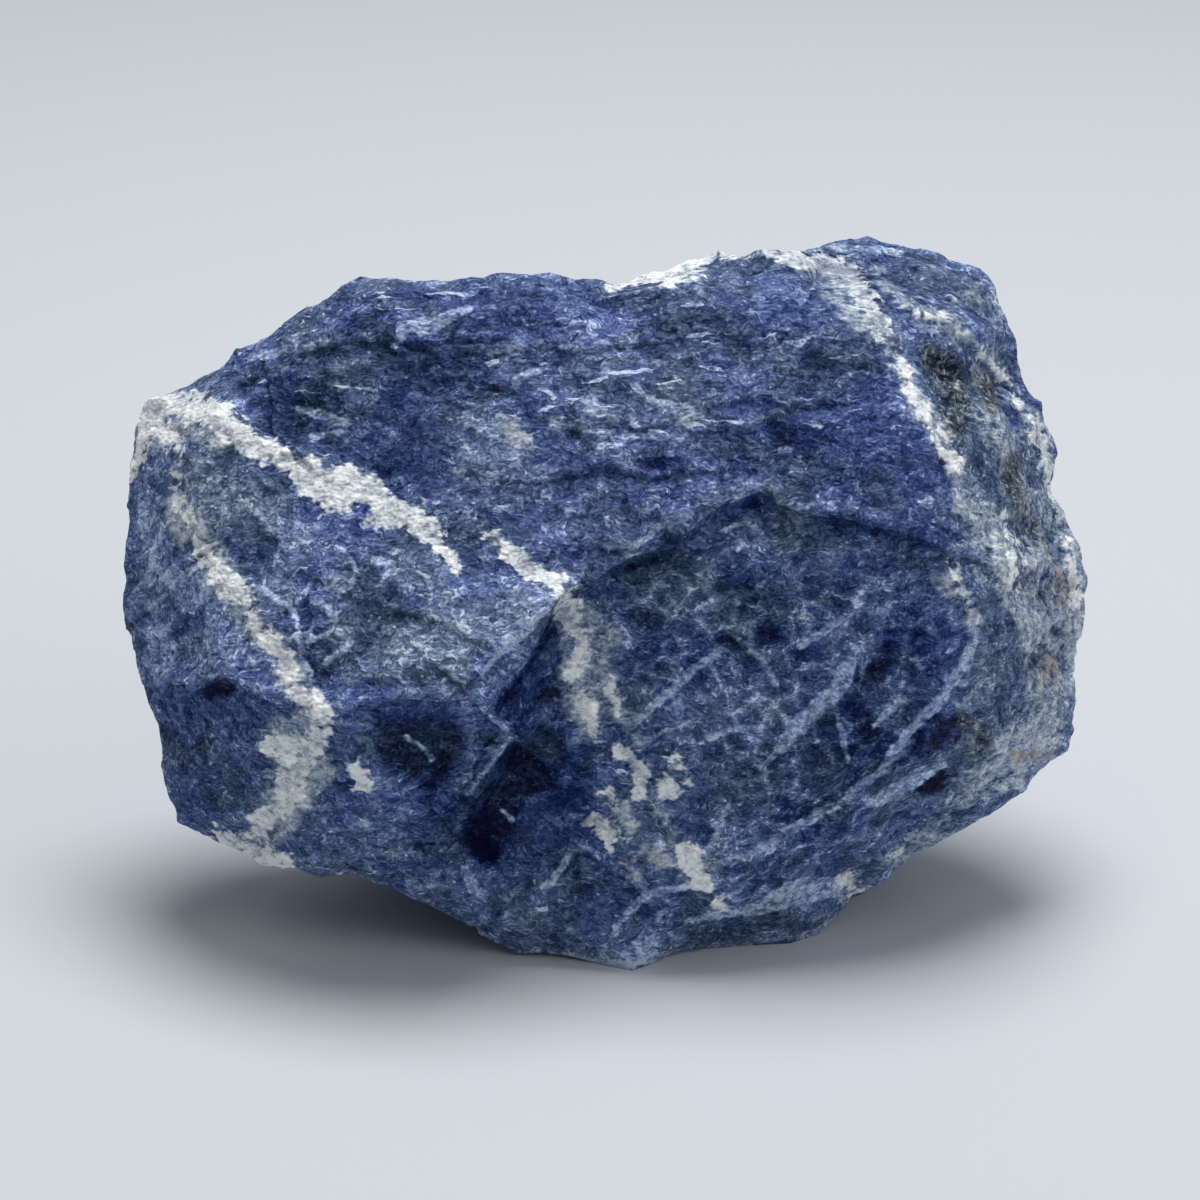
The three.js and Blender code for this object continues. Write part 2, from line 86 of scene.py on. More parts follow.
# What the light makes of a colour on the stone's upper face.
LIT = 0.58  # share that comes back
GLARE = 0.004  # what its gloss adds

# How the stone is built up.
SPLITS = 3  # rounds that split each facet into four
SMOOTHING = {1: 4, 2: 3}  # after this split, this many easing rounds
CREASE = math.radians(38)  # edges that turn more sharply than this stay crisp
TRIANGLES = 190_000
KEPT_NEAR = 0.10  # mm: the mesh stays at its finest this near to a seam
KEPT_BESIDE = 3  # pixels: and this near to a scarp
GROUND_FADE = 0.6 * MM  # the relief fades to nothing this close to the flat it rests on

# ---------------------------------------------------------------------------------------------------
# Markings, painted shade and painted light on the broad face. A stroke is a line of (x, y, half its width),
# in pixels.

CREAM_VEINS = {
    "upper left, from the corner to the lobe": [
        (152, 412, 14), (176, 406, 12), (200, 409, 11), (222, 420, 17), (242, 438, 13), (262, 447, 13),
        (286, 461, 9), (302, 471, 14), (322, 485, 21), (345, 485, 20), (364, 487, 15), (384, 504, 8),
        (402, 513, 10), (420, 520, 13), (435, 534, 11), (446, 553, 7), (453, 566, 3),
    ],
    "its lower fringe": [(368, 520, 4), (385, 516, 6), (402, 516, 7)],
    "corner": [(148, 408, 12), (164, 404, 13), (186, 402, 10), (205, 404, 8)],
    "corner, down the left edge": [(150, 414, 15), (146, 432, 11), (140, 452, 8), (135, 474, 5)],
    "inside the corner": [(158, 428, 8), (172, 438, 6), (176, 452, 4)],
    "left lobe, faint start": [(176, 452, 3), (179, 480, 1.5), (180, 508, 5), (188, 518, 4)],
    "left lobe, upper": [
        (196, 538, 5), (206, 550, 12), (216, 569, 12), (233, 589, 11), (244, 604, 9), (252, 617, 4),
    ],
    "left lobe, lower": [
        (254, 629, 6), (266, 640, 9), (280, 656, 10), (290, 674, 10), (304, 696, 11), (321, 715, 10),
        (330, 722, 5),
    ],
    "under the brow": [(274, 744, 10), (294, 750, 15), (316, 742, 12), (328, 732, 6)],
    "under the brow, streaks": [(296, 764, 15), (290, 784, 13), (282, 804, 9), (272, 822, 6)],
    "lower left edge": [(220, 836, 7), (242, 846, 11), (264, 856, 11), (290, 865, 5)],
    "lower left, streak": [(262, 812, 4), (256, 832, 7)],
    "beside the dish": [(354, 768, 6), (358, 784, 7)],
    "middle": [
        (479, 525, 4), (492, 534, 6), (505, 548, 7), (519, 558, 8), (530, 571, 10), (546, 578, 9),
        (558, 586, 9), (567, 596, 8), (572, 607, 6),
    ],
    "middle, in the bend": [
        (566, 612, 8), (576, 626, 10), (588, 644, 11), (588, 656, 8), (576, 668, 8), (572, 682, 7),
    ],
    "middle, lower": [(576, 690, 6), (586, 706, 9), (593, 724, 7), (597, 738, 3)],
    "middle, right strand": [(609, 676, 3), (613, 698, 5), (620, 710, 4)],
    "upper right": [
        (762, 252, 4), (790, 257, 6), (815, 261, 8), (838, 268, 11), (855, 281, 12), (866, 296, 10),
        (873, 312, 8), (881, 331, 7),
    ],
    "upper right, lower": [
        (893, 350, 4), (905, 372, 5), (912, 392, 5), (924, 414, 6), (936, 431, 8), (946, 451, 7),
        (953, 470, 5),
    ],
    "upper right branch": [(905, 305, 3), (925, 314, 4), (940, 318, 6), (952, 321, 4)],
    "over the hollow": [(980, 352, 4), (992, 362, 5), (1002, 374, 4)],
    "right rim": [
        (1012, 392, 3), (1024, 410, 4), (1036, 430, 4), (1044, 452, 5), (1050, 478, 4), (1054, 506, 3),
    ],
    "right rim, lower": [(1064, 540, 4), (1071, 570, 5), (1075, 604, 4)],
    "side, streak": [(1004, 512, 2), (1011, 536, 4), (1015, 560, 4), (1020, 590, 2)],
    "side, inner streak": [(948, 562, 3), (955, 580, 4), (966, 600, 3)],
    "knob behind the crest": [
        (612, 284, 3), (632, 281, 5), (652, 278, 7), (670, 274, 9), (686, 266, 12), (702, 260, 10),
        (718, 255, 8), (738, 252, 5),
    ],
    "oval in the lower face": [(599, 823, 10), (610, 836, 10)],
    "above the oval": [(610, 792, 5), (613, 804, 6)],
    "blob in the lower face": [(684, 850, 10), (690, 865, 13), (700, 880, 9)],
    "under the blob": [(708, 889, 6), (718, 901, 4)],
    "small blobs": [(616, 748, 3), (628, 758, 6), (640, 773, 9), (641, 789, 8)],
    "small blob": [(664, 780, 7), (669, 788, 8)],
    "small streak": [(663, 748, 3), (674, 762, 5), (682, 774, 5), (690, 785, 3)],
    "knob on the lower edge": [(846, 876, 8), (853, 888, 8)],
}

DULL_VEINS = {
    "around the corner": [(150, 430, 20), (185, 428, 14), (215, 440, 12)],
    "around the left lobe's vein": [
        (176, 512, 14), (205, 548, 18), (240, 600, 14), (262, 632, 14), (300, 690, 16),
    ],
    "under the brow": [
        (306, 716, 16), (292, 742, 30), (304, 768, 28), (288, 796, 24), (270, 826, 22), (250, 846, 14),
        (226, 838, 8),
    ],
    "middle, upper": [
        (568, 604, 14), (574, 622, 22), (586, 640, 26), (584, 660, 24), (574, 677, 16), (582, 696, 20),
        (588, 714, 19), (595, 734, 9),
    ],
    "middle, right strand": [
        (600, 636, 12), (606, 662, 6), (612, 686, 9), (617, 706, 8), (628, 722, 9), (637, 740, 5),
    ],
    "below the middle": [(611, 790, 7), (618, 806, 9), (628, 822, 9)],
    "thin streak": [(655, 802, 3), (662, 820, 4), (668, 838, 3)],
    "toward the foot": [(622, 858, 4), (634, 874, 6), (645, 886, 4)],
    "lavender oval": [(650, 854, 11), (664, 862, 13)],
    "upper right": [
        (800, 266, 8), (826, 278, 12), (852, 300, 14), (874, 324, 15), (893, 350, 10), (905, 375, 11),
        (916, 400, 10), (931, 425, 11), (946, 450, 10), (955, 476, 7),
    ],
    "upper right branch": [
        (868, 268, 7), (885, 286, 7), (900, 300, 8), (918, 312, 9), (938, 319, 10), (956, 326, 11),
        (968, 340, 9),
    ],
    "over the hollow": [(975, 348, 7), (988, 358, 10), (1000, 372, 9), (1006, 386, 6)],
    "lower rim of the block": [(950, 300, 4), (975, 297, 6), (998, 302, 6), (1006, 322, 5)],
    "side, upper": [
        (962, 508, 8), (984, 524, 12), (1000, 548, 16), (1012, 578, 13), (1026, 608, 12), (1038, 640, 12),
    ],
    "side, inner": [(947, 578, 7), (962, 601, 9), (974, 622, 7)],
    "speckled patch": [(690, 320, 5), (697, 326, 5)],
    "on the slope": [(504, 424, 5), (512, 434, 8), (520, 444, 5)],
    "on the slope, right": [(548, 422, 4), (572, 425, 7), (580, 428, 4)],
}

# Thin pale seams: half-healed cracks, and the bright rims of loose flakes.
SEAMS = {
    "long": [
        (700, 869, 3), (725, 862, 4), (745, 857, 4), (762, 849, 4), (780, 837, 5), (800, 825, 5),
        (817, 814, 5), (838, 805, 4), (855, 790, 4), (871, 779, 4), (885, 768, 5), (895, 749, 5),
        (906, 735, 5), (925, 715, 6), (940, 700, 6), (954, 681, 5), (967, 656, 5), (976, 638, 3),
    ],
    "broad": [
        (762, 768, 2), (772, 757, 4), (785, 741, 7), (802, 722, 9), (820, 705, 9), (838, 688, 9),
        (848, 669, 7), (855, 650, 3),
    ],
    "short": [(636, 724, 3), (650, 708, 4), (668, 695, 3), (690, 673, 4), (706, 660, 4), (722, 649, 3)],
    "foot": [(617, 926, 4), (640, 899, 4), (660, 891, 4), (682, 888, 4)],
    "lower edge": [
        (690, 920, 3), (720, 914, 4), (748, 912, 5), (770, 903, 9), (790, 893, 11), (815, 888, 12),
        (838, 888, 9),
    ],
    "lower right band": [(872, 803, 5), (895, 792, 7), (920, 777, 7), (941, 764, 5)],
    "from the foot": [(543, 888, 3), (560, 869, 3), (572, 852, 4), (592, 849, 3)],
    "left foot": [(463, 868, 3), (472, 886, 5), (486, 897, 4)],
    "down to the blob": [(732, 800, 2), (720, 828, 3), (706, 856, 3)],
    "in the dark panel": [(836, 716, 2), (844, 738, 3), (848, 762, 2)],
    "fork": [(905, 700, 3), (888, 712, 3), (874, 728, 2)],
    "under the middle": [(740, 640, 3), (764, 662, 3), (776, 684, 2)],
    "toward the middle": [(800, 646, 3), (822, 632, 4), (842, 618, 3)],
    "low ripple": [(700, 742, 2), (728, 730, 3), (756, 728, 2)],
    "low ripple, second": [(640, 742, 3), (668, 730, 2), (690, 722, 2)],
    "side, top": [(806, 249, 3), (850, 247, 4), (900, 254, 3)],
    "crest, left": [(262, 356, 4), (286, 350, 5), (306, 348, 4), (326, 340, 3)],
    "on the slope, long": [(489, 354, 2.5), (510, 349, 3), (540, 347, 2.5), (568, 347, 2)],
    "on the slope, short": [(594, 345, 2), (604, 344, 3.5), (615, 341, 2)],
    "on the slope, slanting": [(514, 379, 2), (530, 372, 3), (548, 367, 2)],
    "on the slope, left": [(394, 345, 4), (402, 331, 4), (420, 323, 5), (446, 318, 5), (468, 308, 3)],
    "on the slope, flake": [(420, 332, 3), (434, 329, 4), (444, 324, 2)],
    "on the slope, far left": [(300, 410, 4), (322, 414, 5), (345, 425, 5), (338, 432, 3), (312, 438, 3)],
    "on the slope, low": [(622, 438, 2), (640, 436, 3), (660, 438, 2)],
    "in the slope's middle": [(632, 384, 3), (650, 398, 4), (668, 402, 3), (690, 412, 4)],
    "ledge rim": [(736, 498, 3), (752, 489, 4), (768, 485, 3), (779, 500, 3)],
    "ledge, second rim": [(720, 530, 2), (746, 522, 3), (762, 532, 2)],
    "rim by the ledge": [(606, 548, 2), (636, 545, 2.5), (662, 526, 3), (690, 514, 3)],
    "lobe, loose flake": [(326, 585, 3), (337, 592, 3), (351, 585, 3), (359, 572, 3), (351, 561, 2.5)],
    "lobe, second flake": [(328, 609, 2.5), (336, 621, 2.5), (325, 634, 3), (306, 645, 2.5), (310, 633, 2)],
    "lobe, third flake": [(338, 630, 3), (350, 640, 4), (344, 651, 3), (330, 658, 3), (325, 666, 2)],
    "lobe, fourth flake": [(374, 560, 2.5), (391, 564, 4), (396, 572, 2.5), (384, 577, 2)],
    "lobe, splinter": [(427, 574, 2.5), (433, 592, 2.5)],
    "lobe, fringe": [(265, 590, 3), (288, 604, 4), (297, 624, 3), (300, 650, 3), (308, 672, 4)],
    "lobe, edge": [(548, 607, 3), (524, 634, 3), (500, 655, 3), (480, 672, 3)],
    "wedge, edge": [(478, 704, 2), (496, 722, 2), (512, 736, 2.5), (490, 764, 1.8), (468, 796, 1.5)],
    "dish, splinter": [(406, 737, 2.5), (420, 747, 2.5), (433, 758, 2.5)],
    "hollow, splinter": [(502, 811, 2), (512, 820, 2.5)],
    "left edge, splinters": [(150, 610, 3), (170, 590, 3), (196, 566, 3)],
}

# The weathered skin of the right side, and what has stained it.
RIND = {
    "rim": [
        (1012, 392, 8), (1030, 425, 13), (1040, 450, 14), (1050, 480, 13), (1054, 510, 13),
        (1063, 545, 17), (1069, 590, 18), (1072, 640, 17), (1066, 682, 16),
    ],
    "inner": [
        (966, 502, 9), (985, 520, 15), (1000, 548, 16), (1012, 578, 14), (1026, 608, 14), (1038, 640, 16),
        (1046, 672, 20), (1042, 706, 24), (1030, 740, 28), (1008, 768, 22), (978, 786, 14), (952, 801, 9),
    ],
    "second": [(947, 578, 6), (962, 602, 9), (974, 622, 7)],
    "low": [(944, 826, 8), (918, 841, 9), (896, 856, 8)],
    "below the block": [(975, 375, 14), (985, 398, 16), (1000, 440, 10), (1018, 470, 14), (1024, 500, 14)],
    "outer side": [(1030, 500, 20), (1042, 545, 22), (1052, 600, 22), (1056, 650, 22)],
}
STAINS = {
    "in the hollow": [(928, 350, 10), (942, 366, 16), (956, 386, 18), (952, 408, 12), (962, 430, 9)],
    "beside it": [(984, 388, 12), (992, 404, 10)],
    "below it": [(1018, 462, 8), (1012, 482, 12), (1018, 502, 10)],
    "on the side": [(1032, 520, 7), (1038, 545, 6)],
    "low on the side": [(968, 716, 5), (984, 730, 8), (980, 752, 7)],
}
RUST = {
    "on the side": [(1058, 566, 3), (1062, 582, 5), (1064, 598, 4)],
    "lower on the side": [(1050, 664, 4), (1048, 690, 3)],
    "low on the side": [(1022, 758, 4), (1034, 748, 3)],
}

# Painted light and shade, with some darker and lighter ground: (shade, lighter over 0 and darker under it,
# and its stroke).
SHADES = [
    # Painted shade: the top edge and the vein along it, darker where they face the light overhead.
    (-1.2, [(770, 252, 10), (812, 262, 14), (846, 276, 18), (868, 300, 18), (880, 326, 14)]),
    (-0.4, [(800, 245, 8), (860, 248, 8), (910, 262, 10)]),
    (0.35, [(470, 470, 24), (450, 500, 22)]),
    (0.3, [(500, 500, 24), (540, 500, 22)]),
    (0.3, [(735, 340, 18), (765, 345, 16)]),
    (-0.35, [(495, 400, 22), (525, 405, 22)]),
    (0.35, [(560, 392, 22), (590, 410, 20)]),
    (0.45, [(505, 648, 16), (520, 622, 14)]),
    (0.4, [(205, 590, 16), (190, 610, 18)]),
    (0.5, [(140, 500, 14), (150, 540, 18), (150, 600, 18), (158, 660, 16)]),
    (0.3, [(205, 465, 18), (158, 470, 12)]),
    (0.25, [(280, 520, 30), (330, 540, 30), (330, 590, 24)]),
    (-0.35, [(440, 828, 20), (500, 835, 18)]),
    (0.3, [(380, 815, 18), (400, 818, 14)]),
    (-0.6, [(795, 815, 18), (830, 832, 14)]),
    (-0.3, [(745, 820, 20), (870, 815, 18)]),
    (-0.3, [(870, 690, 24), (872, 750, 24)]),
    (-0.25, [(690, 820, 18), (700, 835, 14)]),
    (0.4, [(258, 695, 14), (272, 712, 12)]),
    (0.3, [(440, 694, 10), (470, 696, 10)]),
    (-0.4, [(985, 460, 14), (990, 500, 14)]),
    (-0.7, [(922, 742, 14), (948, 730, 12)]),
    (-0.8, [(925, 782, 10), (938, 780, 10)]),
    (-0.4, [(450, 590, 14)]),
    (-0.3, [(330, 405, 20), (400, 395, 22), (455, 390, 22)]),
    (0.5, [(150, 640, 18), (160, 680, 14)]),
    (0.4, [(140, 520, 12), (150, 570, 16)]),
    (0.4, [(330, 820, 24), (400, 850, 18)]),
    (-0.35, [(390, 700, 18), (400, 760, 22)]),
    (-0.3, [(870, 340, 16), (890, 360, 14)]),
    # Painted shade along the upper face, which faces the light overhead.
    (-0.35, [(390, 305, 20), (480, 298, 22), (620, 306, 24), (720, 310, 26)]),
    (-0.35, [(690, 335, 20), (740, 330, 20)]),
    (-0.5, [(790, 330, 24), (820, 350, 26), (860, 370, 26)]),
    (-0.4, [(500, 395, 22), (530, 405, 20)]),
    (-0.25, [(810, 400, 26), (860, 420, 28)]),
    (-0.6, [(740, 455, 24), (800, 458, 30), (860, 465, 28)]),
    (0.3, [(560, 520, 24), (610, 510, 26), (640, 520, 18)]),
    (0.3, [(750, 540, 18), (800, 545, 20)]),
    # Painted light on the left lobe.
    (0.5, [(200, 500, 24), (260, 515, 28), (300, 540, 20)]),
    (0.6, [(220, 585, 24), (280, 590, 26)]),
    (0.45, [(180, 640, 26), (230, 650, 26), (280, 660, 26)]),
    (0.4, [(330, 560, 26), (390, 560, 26), (440, 560, 26)]),
    (0.35, [(340, 640, 26), (390, 660, 30), (450, 650, 26)]),
    (0.45, [(160, 470, 22), (190, 480, 24)]),
    (0.3, [(690, 590, 24), (680, 640, 20)]),
    (0.4, [(560, 340, 26), (620, 345, 26)]),
    (0.35, [(670, 400, 24), (700, 420, 24)]),
    (-0.5, [(510, 690, 18), (500, 710, 14)]),
    (0.3, [(740, 700, 30), (700, 720, 30)]),
    (0.3, [(870, 870, 16), (900, 860, 14)]),
    (-0.5, [(740, 575, 22), (790, 585, 28), (830, 590, 22)]),
    (-0.3, [(640, 640, 24), (690, 650, 24)]),
    (-0.45, [(750, 640, 24), (810, 650, 26)]),
    (-0.45, [(900, 640, 26), (935, 655, 22), (920, 700, 24)]),
    (-0.5, [(850, 710, 26), (880, 735, 26), (830, 770, 30), (920, 760, 22)]),
    (-0.4, [(215, 760, 18), (205, 800, 20)]),
    (-0.5, [(450, 820, 20), (520, 800, 24), (570, 780, 24), (580, 820, 22)]),
    (0.4, [(380, 830, 16), (400, 848, 14)]),
    (-0.35, [(800, 830, 20), (840, 815, 20)]),
    (0.5, [(990, 770, 22), (1030, 740, 24)]),
    (0.35, [(900, 850, 14), (930, 835, 14)]),
    (-0.55, [(395, 345, 22), (440, 360, 30), (480, 375, 18)]),
    (-0.35, [(905, 460, 24), (930, 470, 20)]),
    (-0.5, [(900, 530, 14), (940, 535, 12)]),
    (0.55, [(470, 425, 30), (505, 450, 34), (530, 480, 26)]),
    (0.45, [(605, 420, 22), (650, 420, 26), (690, 425, 18)]),
    (0.35, [(570, 310, 22), (620, 320, 26)]),
    (0.6, [(440, 610, 22), (480, 610, 34), (520, 590, 26), (545, 585, 16)]),
    (0.5, [(400, 640, 20), (450, 655, 22)]),
    (0.5, [(215, 625, 20), (260, 660, 20)]),
    (0.5, [(150, 500, 12), (160, 560, 20), (190, 600, 14)]),
    (-0.3, [(340, 800, 24), (400, 830, 26), (430, 860, 18)]),
    (-0.3, [(190, 790, 24), (185, 740, 18)]),
    (-0.3, [(580, 870, 24), (600, 910, 24)]),
    (0.3, [(870, 590, 20), (920, 600, 20)]),
    (0.2, [(740, 700, 24), (770, 720, 20)]),
    (0.4, [(965, 470, 14), (985, 520, 20), (1000, 600, 18)]),
    # Painted shadow under the ledges, and painted shade in the notches and pits.
    (-0.7, [(606, 575, 4), (630, 567, 5), (655, 559, 5)]),
    (-0.6, [(655, 547, 5), (690, 536, 6)]),
    (-0.8, [(835, 519, 6), (860, 521, 9), (890, 532, 7), (920, 542, 5), (942, 549, 4)]),
    (-0.9, [(612, 466, 7), (590, 470, 6)]),
    (-1.1, [(648, 467, 8), (680, 467, 8)]),
    (-0.7, [(728, 585, 9), (748, 590, 10), (738, 606, 9)]),
    (-0.8, [(702, 645, 9), (718, 636, 8)]),
    (-0.9, [(728, 642, 6), (740, 650, 8), (750, 660, 6)]),
    (-0.8, [(765, 618, 8), (768, 642, 8)]),
    (-0.8, [(862, 682, 9), (880, 668, 13), (888, 648, 9)]),
    (-0.7, [(905, 668, 10), (934, 668, 8)]),
    (-0.6, [(920, 620, 12), (935, 605, 10), (905, 606, 7)]),
    (-0.9, [(926, 780, 10), (940, 772, 6)]),
    (-0.6, [(800, 850, 9), (820, 835, 11), (843, 822, 10)]),
    (-0.5, [(745, 870, 8), (775, 878, 10)]),
    (-0.5, [(590, 745, 12), (580, 780, 14), (560, 800, 14)]),
    (-0.8, [(547, 430, 6), (553, 442, 6)]),
    (0.4, [(800, 905, 12), (835, 895, 10)]),
]

# Panels: (shade, how soft its edge is in pixels, its outline).
# Painted shade in the dish, the hollow, the notch, by the ledge and below the lobe's edge; painted light on
# the rims above them; and darker cells.
PANELS = [
    (-1.05, 8, [
        (384, 716), (420, 708), (458, 716), (470, 742), (458, 772), (430, 792), (396, 776), (372, 744),
    ]),
    (-0.5, 6, [(395, 770), (440, 775), (466, 800), (450, 812), (410, 800)]),
    (-0.1, 3, [
        (444, 702), (478, 704), (512, 736), (480, 775), (464, 800), (452, 790), (473, 752), (470, 724),
    ]),
    (-1.15, 4, [
        (513, 737), (530, 722), (560, 728), (572, 756), (556, 782), (526, 798), (514, 835), (498, 862),
        (468, 858), (462, 830), (470, 800), (488, 768),
    ]),
    (-0.6, 4, [(472, 838), (510, 834), (502, 856), (478, 863)]),
    (-0.7, 3, [
        (553, 607), (566, 640), (560, 690), (545, 715), (518, 735), (496, 712), (524, 668), (540, 640),
    ]),
    (0.2, 3, [(552, 606), (538, 640), (524, 668), (498, 700), (478, 700), (480, 674), (502, 656)]),
    (-0.8, 2, [
        (541, 640), (552, 615), (557, 630), (540, 655), (520, 684), (504, 708), (497, 704), (523, 668),
    ]),
    (-0.42, 4, [
        (768, 756), (790, 738), (832, 706), (852, 700), (880, 728), (898, 742), (880, 768), (840, 800),
        (800, 824), (784, 818), (774, 790),
    ]),
    (-1.0, 5, [(918, 734), (934, 714), (964, 714), (968, 736), (944, 752), (908, 762)]),
    (-1.0, 4, [(916, 784), (926, 768), (945, 765), (948, 780), (940, 796), (920, 796)]),
    (-0.45, 6, [
        (276, 380), (300, 372), (326, 386), (342, 412), (330, 440), (300, 450), (274, 445), (268, 420),
    ]),
    (-0.7, 5, [(762, 424), (798, 428), (808, 450), (790, 462), (768, 452)]),
    (-0.6, 4, [(735, 502), (765, 488), (779, 501), (756, 513)]),
    (-0.5, 6, [(656, 540), (700, 538), (704, 572), (668, 584), (652, 568)]),
    (-0.5, 5, [(345, 552), (380, 552), (402, 596), (372, 610), (336, 602), (352, 582)]),
    (-0.5, 4, [(302, 606), (326, 604), (332, 640), (322, 676), (306, 664), (298, 640)]),
    (-0.5, 4, [(226, 556), (250, 570), (262, 590), (246, 594), (226, 574)]),
    (-1.7, 2, [(196, 690), (208, 683), (226, 681), (240, 688), (228, 697), (208, 698)]),
    (-0.35, 5, [(150, 692), (200, 684), (260, 694), (300, 712), (280, 724), (220, 708), (160, 706)]),
    (0.25, 5, [(560, 580), (606, 545), (690, 505), (716, 500), (690, 520), (640, 552), (606, 574)]),
]

# Where the ground has a grain of its own.
SPLINTERED = [
    [(260, 350, 70), (420, 330, 80), (560, 360, 90), (700, 380, 90), (830, 400, 70)],
]
CELLED = [
    [(660, 640, 70), (760, 640, 90), (880, 640, 80), (780, 740, 90), (900, 740, 60), (740, 850, 60)],
]

# Bluer ground and greyer ground: (from 1, royal, to -1, slate, its stroke).
ROYAL = [
    (0.9, [(170, 700, 20), (240, 700, 22), (320, 720, 16)]),
    (-1.1, [(385, 742, 18), (420, 748, 24), (440, 745, 18)]),
    (-1.2, [(208, 690, 9), (230, 689, 9)]),
    (-1.0, [(950, 390, 20), (985, 450, 26), (1008, 500, 26), (1030, 560, 24), (1045, 620, 20)]),
    (-0.9, [(520, 750, 20), (540, 745, 20)]),
    (-0.9, [(890, 264, 14), (930, 278, 18), (975, 292, 18)]),
    (0.8, [(340, 700, 14), (420, 700, 16), (500, 720, 12)]),
    (0.8, [(300, 510, 20), (360, 520, 22), (400, 550, 14)]),
    (0.8, [(210, 620, 18), (250, 660, 22), (270, 690, 14)]),
    (0.7, [(820, 420, 26), (880, 400, 30), (920, 470, 30)]),
    (0.7, [(540, 320, 26), (600, 330, 30)]),
    (0.7, [(640, 500, 24), (690, 480, 20)]),
    (0.8, [(560, 830, 20), (560, 780, 20), (600, 850, 18)]),
    (0.8, [(600, 780, 14), (640, 760, 14)]),
    (0.6, [(860, 560, 22), (900, 600, 22), (920, 640, 18)]),
    (0.6, [(420, 470, 22), (480, 500, 24), (440, 500, 18)]),
    (-0.9, [(205, 460, 26), (260, 490, 26), (220, 510, 20)]),
    (-1.0, [(345, 580, 20), (380, 600, 26), (340, 650, 20)]),
    (-0.8, [(400, 640, 30), (440, 660, 30), (380, 660, 24)]),
    (-0.7, [(370, 540, 14), (420, 570, 20)]),
    (-0.7, [(760, 780, 30), (820, 760, 30), (820, 800, 24)]),
    (-0.7, [(680, 320, 20), (690, 390, 30), (670, 350, 20)]),
    (-0.6, [(380, 360, 26), (300, 420, 26)]),
    (-0.7, [(960, 430, 26), (980, 520, 26), (1000, 640, 30), (960, 760, 24)]),
    (-0.7, [(640, 560, 16), (720, 590, 20), (740, 640, 20)]),
]

# Scarps: (drop in mm, how far it reaches to each side in pixels, the line). The raised side is on the
# left of the line's direction.
SCARPS = [
    (0.45, 40, [(718, 508), (735, 498), (752, 490), (767, 486), (778, 501)]),
    (0.22, 30, [(778, 501), (800, 508), (825, 514)]),
    (0.35, 34, [(838, 516), (860, 521), (880, 528), (905, 538), (945, 551)]),
    (0.30, 34, [(600, 577), (615, 567), (652, 556)]),
    (0.25, 34, [(660, 548), (673, 543), (699, 526), (718, 508)]),
    (0.25, 26, [(606, 548), (640, 544), (660, 528), (690, 514), (716, 504)]),
    (0.35, 22, [(308, 672), (300, 650), (297, 624), (288, 604), (265, 590)]),
    (0.25, 18, [(326, 585), (337, 592), (351, 585), (359, 572), (351, 561)]),
    (0.25, 18, [(306, 645), (325, 634), (336, 621)]),
    (0.25, 18, [(325, 666), (330, 658), (344, 651), (350, 640)]),
    (0.25, 26, [(240, 640), (262, 628), (285, 610)]),
    (0.30, 26, [(150, 640), (176, 628), (200, 605), (214, 590)]),
    (0.35, 30, [(180, 684), (200, 682), (222, 680), (252, 692), (280, 706), (300, 712)]),
    (0.30, 24, [(150, 608), (172, 588), (196, 564)]),
    (0.40, 30, [(340, 712), (372, 706), (400, 702), (436, 700), (478, 704)]),
    (0.70, 40, [(478, 704), (500, 724), (512, 736)]),
    (0.80, 40, [(512, 736), (490, 764), (467, 798)]),
    (0.60, 30, [(478, 674), (500, 655), (524, 634), (552, 606)]),
    (0.35, 24, [(496, 708), (524, 670), (540, 640), (560, 610)]),
    (0.30, 30, [(395, 610), (440, 622), (470, 640), (498, 652)]),
    (0.25, 30, [(500, 350), (540, 346), (585, 352), (640, 345)]),
    (0.25, 30, [(330, 345), (372, 338), (415, 343), (470, 338)]),
    (0.30, 30, [(574, 476), (620, 470), (650, 477), (688, 474)]),
    (0.25, 26, [(560, 430), (600, 422), (640, 430), (672, 424)]),
    (0.25, 30, [(740, 402), (770, 398), (812, 404), (850, 398)]),
    (0.30, 30, [(266, 372), (270, 400), (272, 430), (290, 446)]),
    (0.30, 26, [(560, 830), (600, 862), (632, 884), (646, 904)]),
    (0.25, 20, [(772, 757), (800, 732), (832, 702)]),
    (0.25, 20, [(900, 752), (925, 722), (950, 692)]),
    (0.35, 30, [(892, 300), (915, 318), (945, 324), (970, 345), (1000, 372)]),
]

SCARP_WANDER = (3, 5)  # how far they wander in pixels, and the seed of it

# Pits: (x, y, radius in pixels, depth in mm).
PITS = [
    (222, 690, 16, 0.45),
    (206, 692, 10, 0.35),
    (425, 752, 34, 0.55),
    (490, 850, 26, 0.9),
    (528, 756, 16, 0.5),
    (740, 610, 14, 0.35),
    (772, 640, 12, 0.3),
    (728, 645, 10, 0.3),
    (885, 668, 22, 0.35),
    (935, 780, 12, 0.3),
    (948, 368, 20, 0.5),
    (972, 402, 14, 0.4),
    (1012, 476, 12, 0.4),
    (1060, 634, 5, 0.3),
    (660, 465, 14, 0.35),
    (300, 410, 24, 0.35),
    (785, 430, 20, 0.3),
]

# ---------------------------------------------------------------------------------------------------
# Markings on the back, the top behind the crest and the underside, seen as if through the stone.

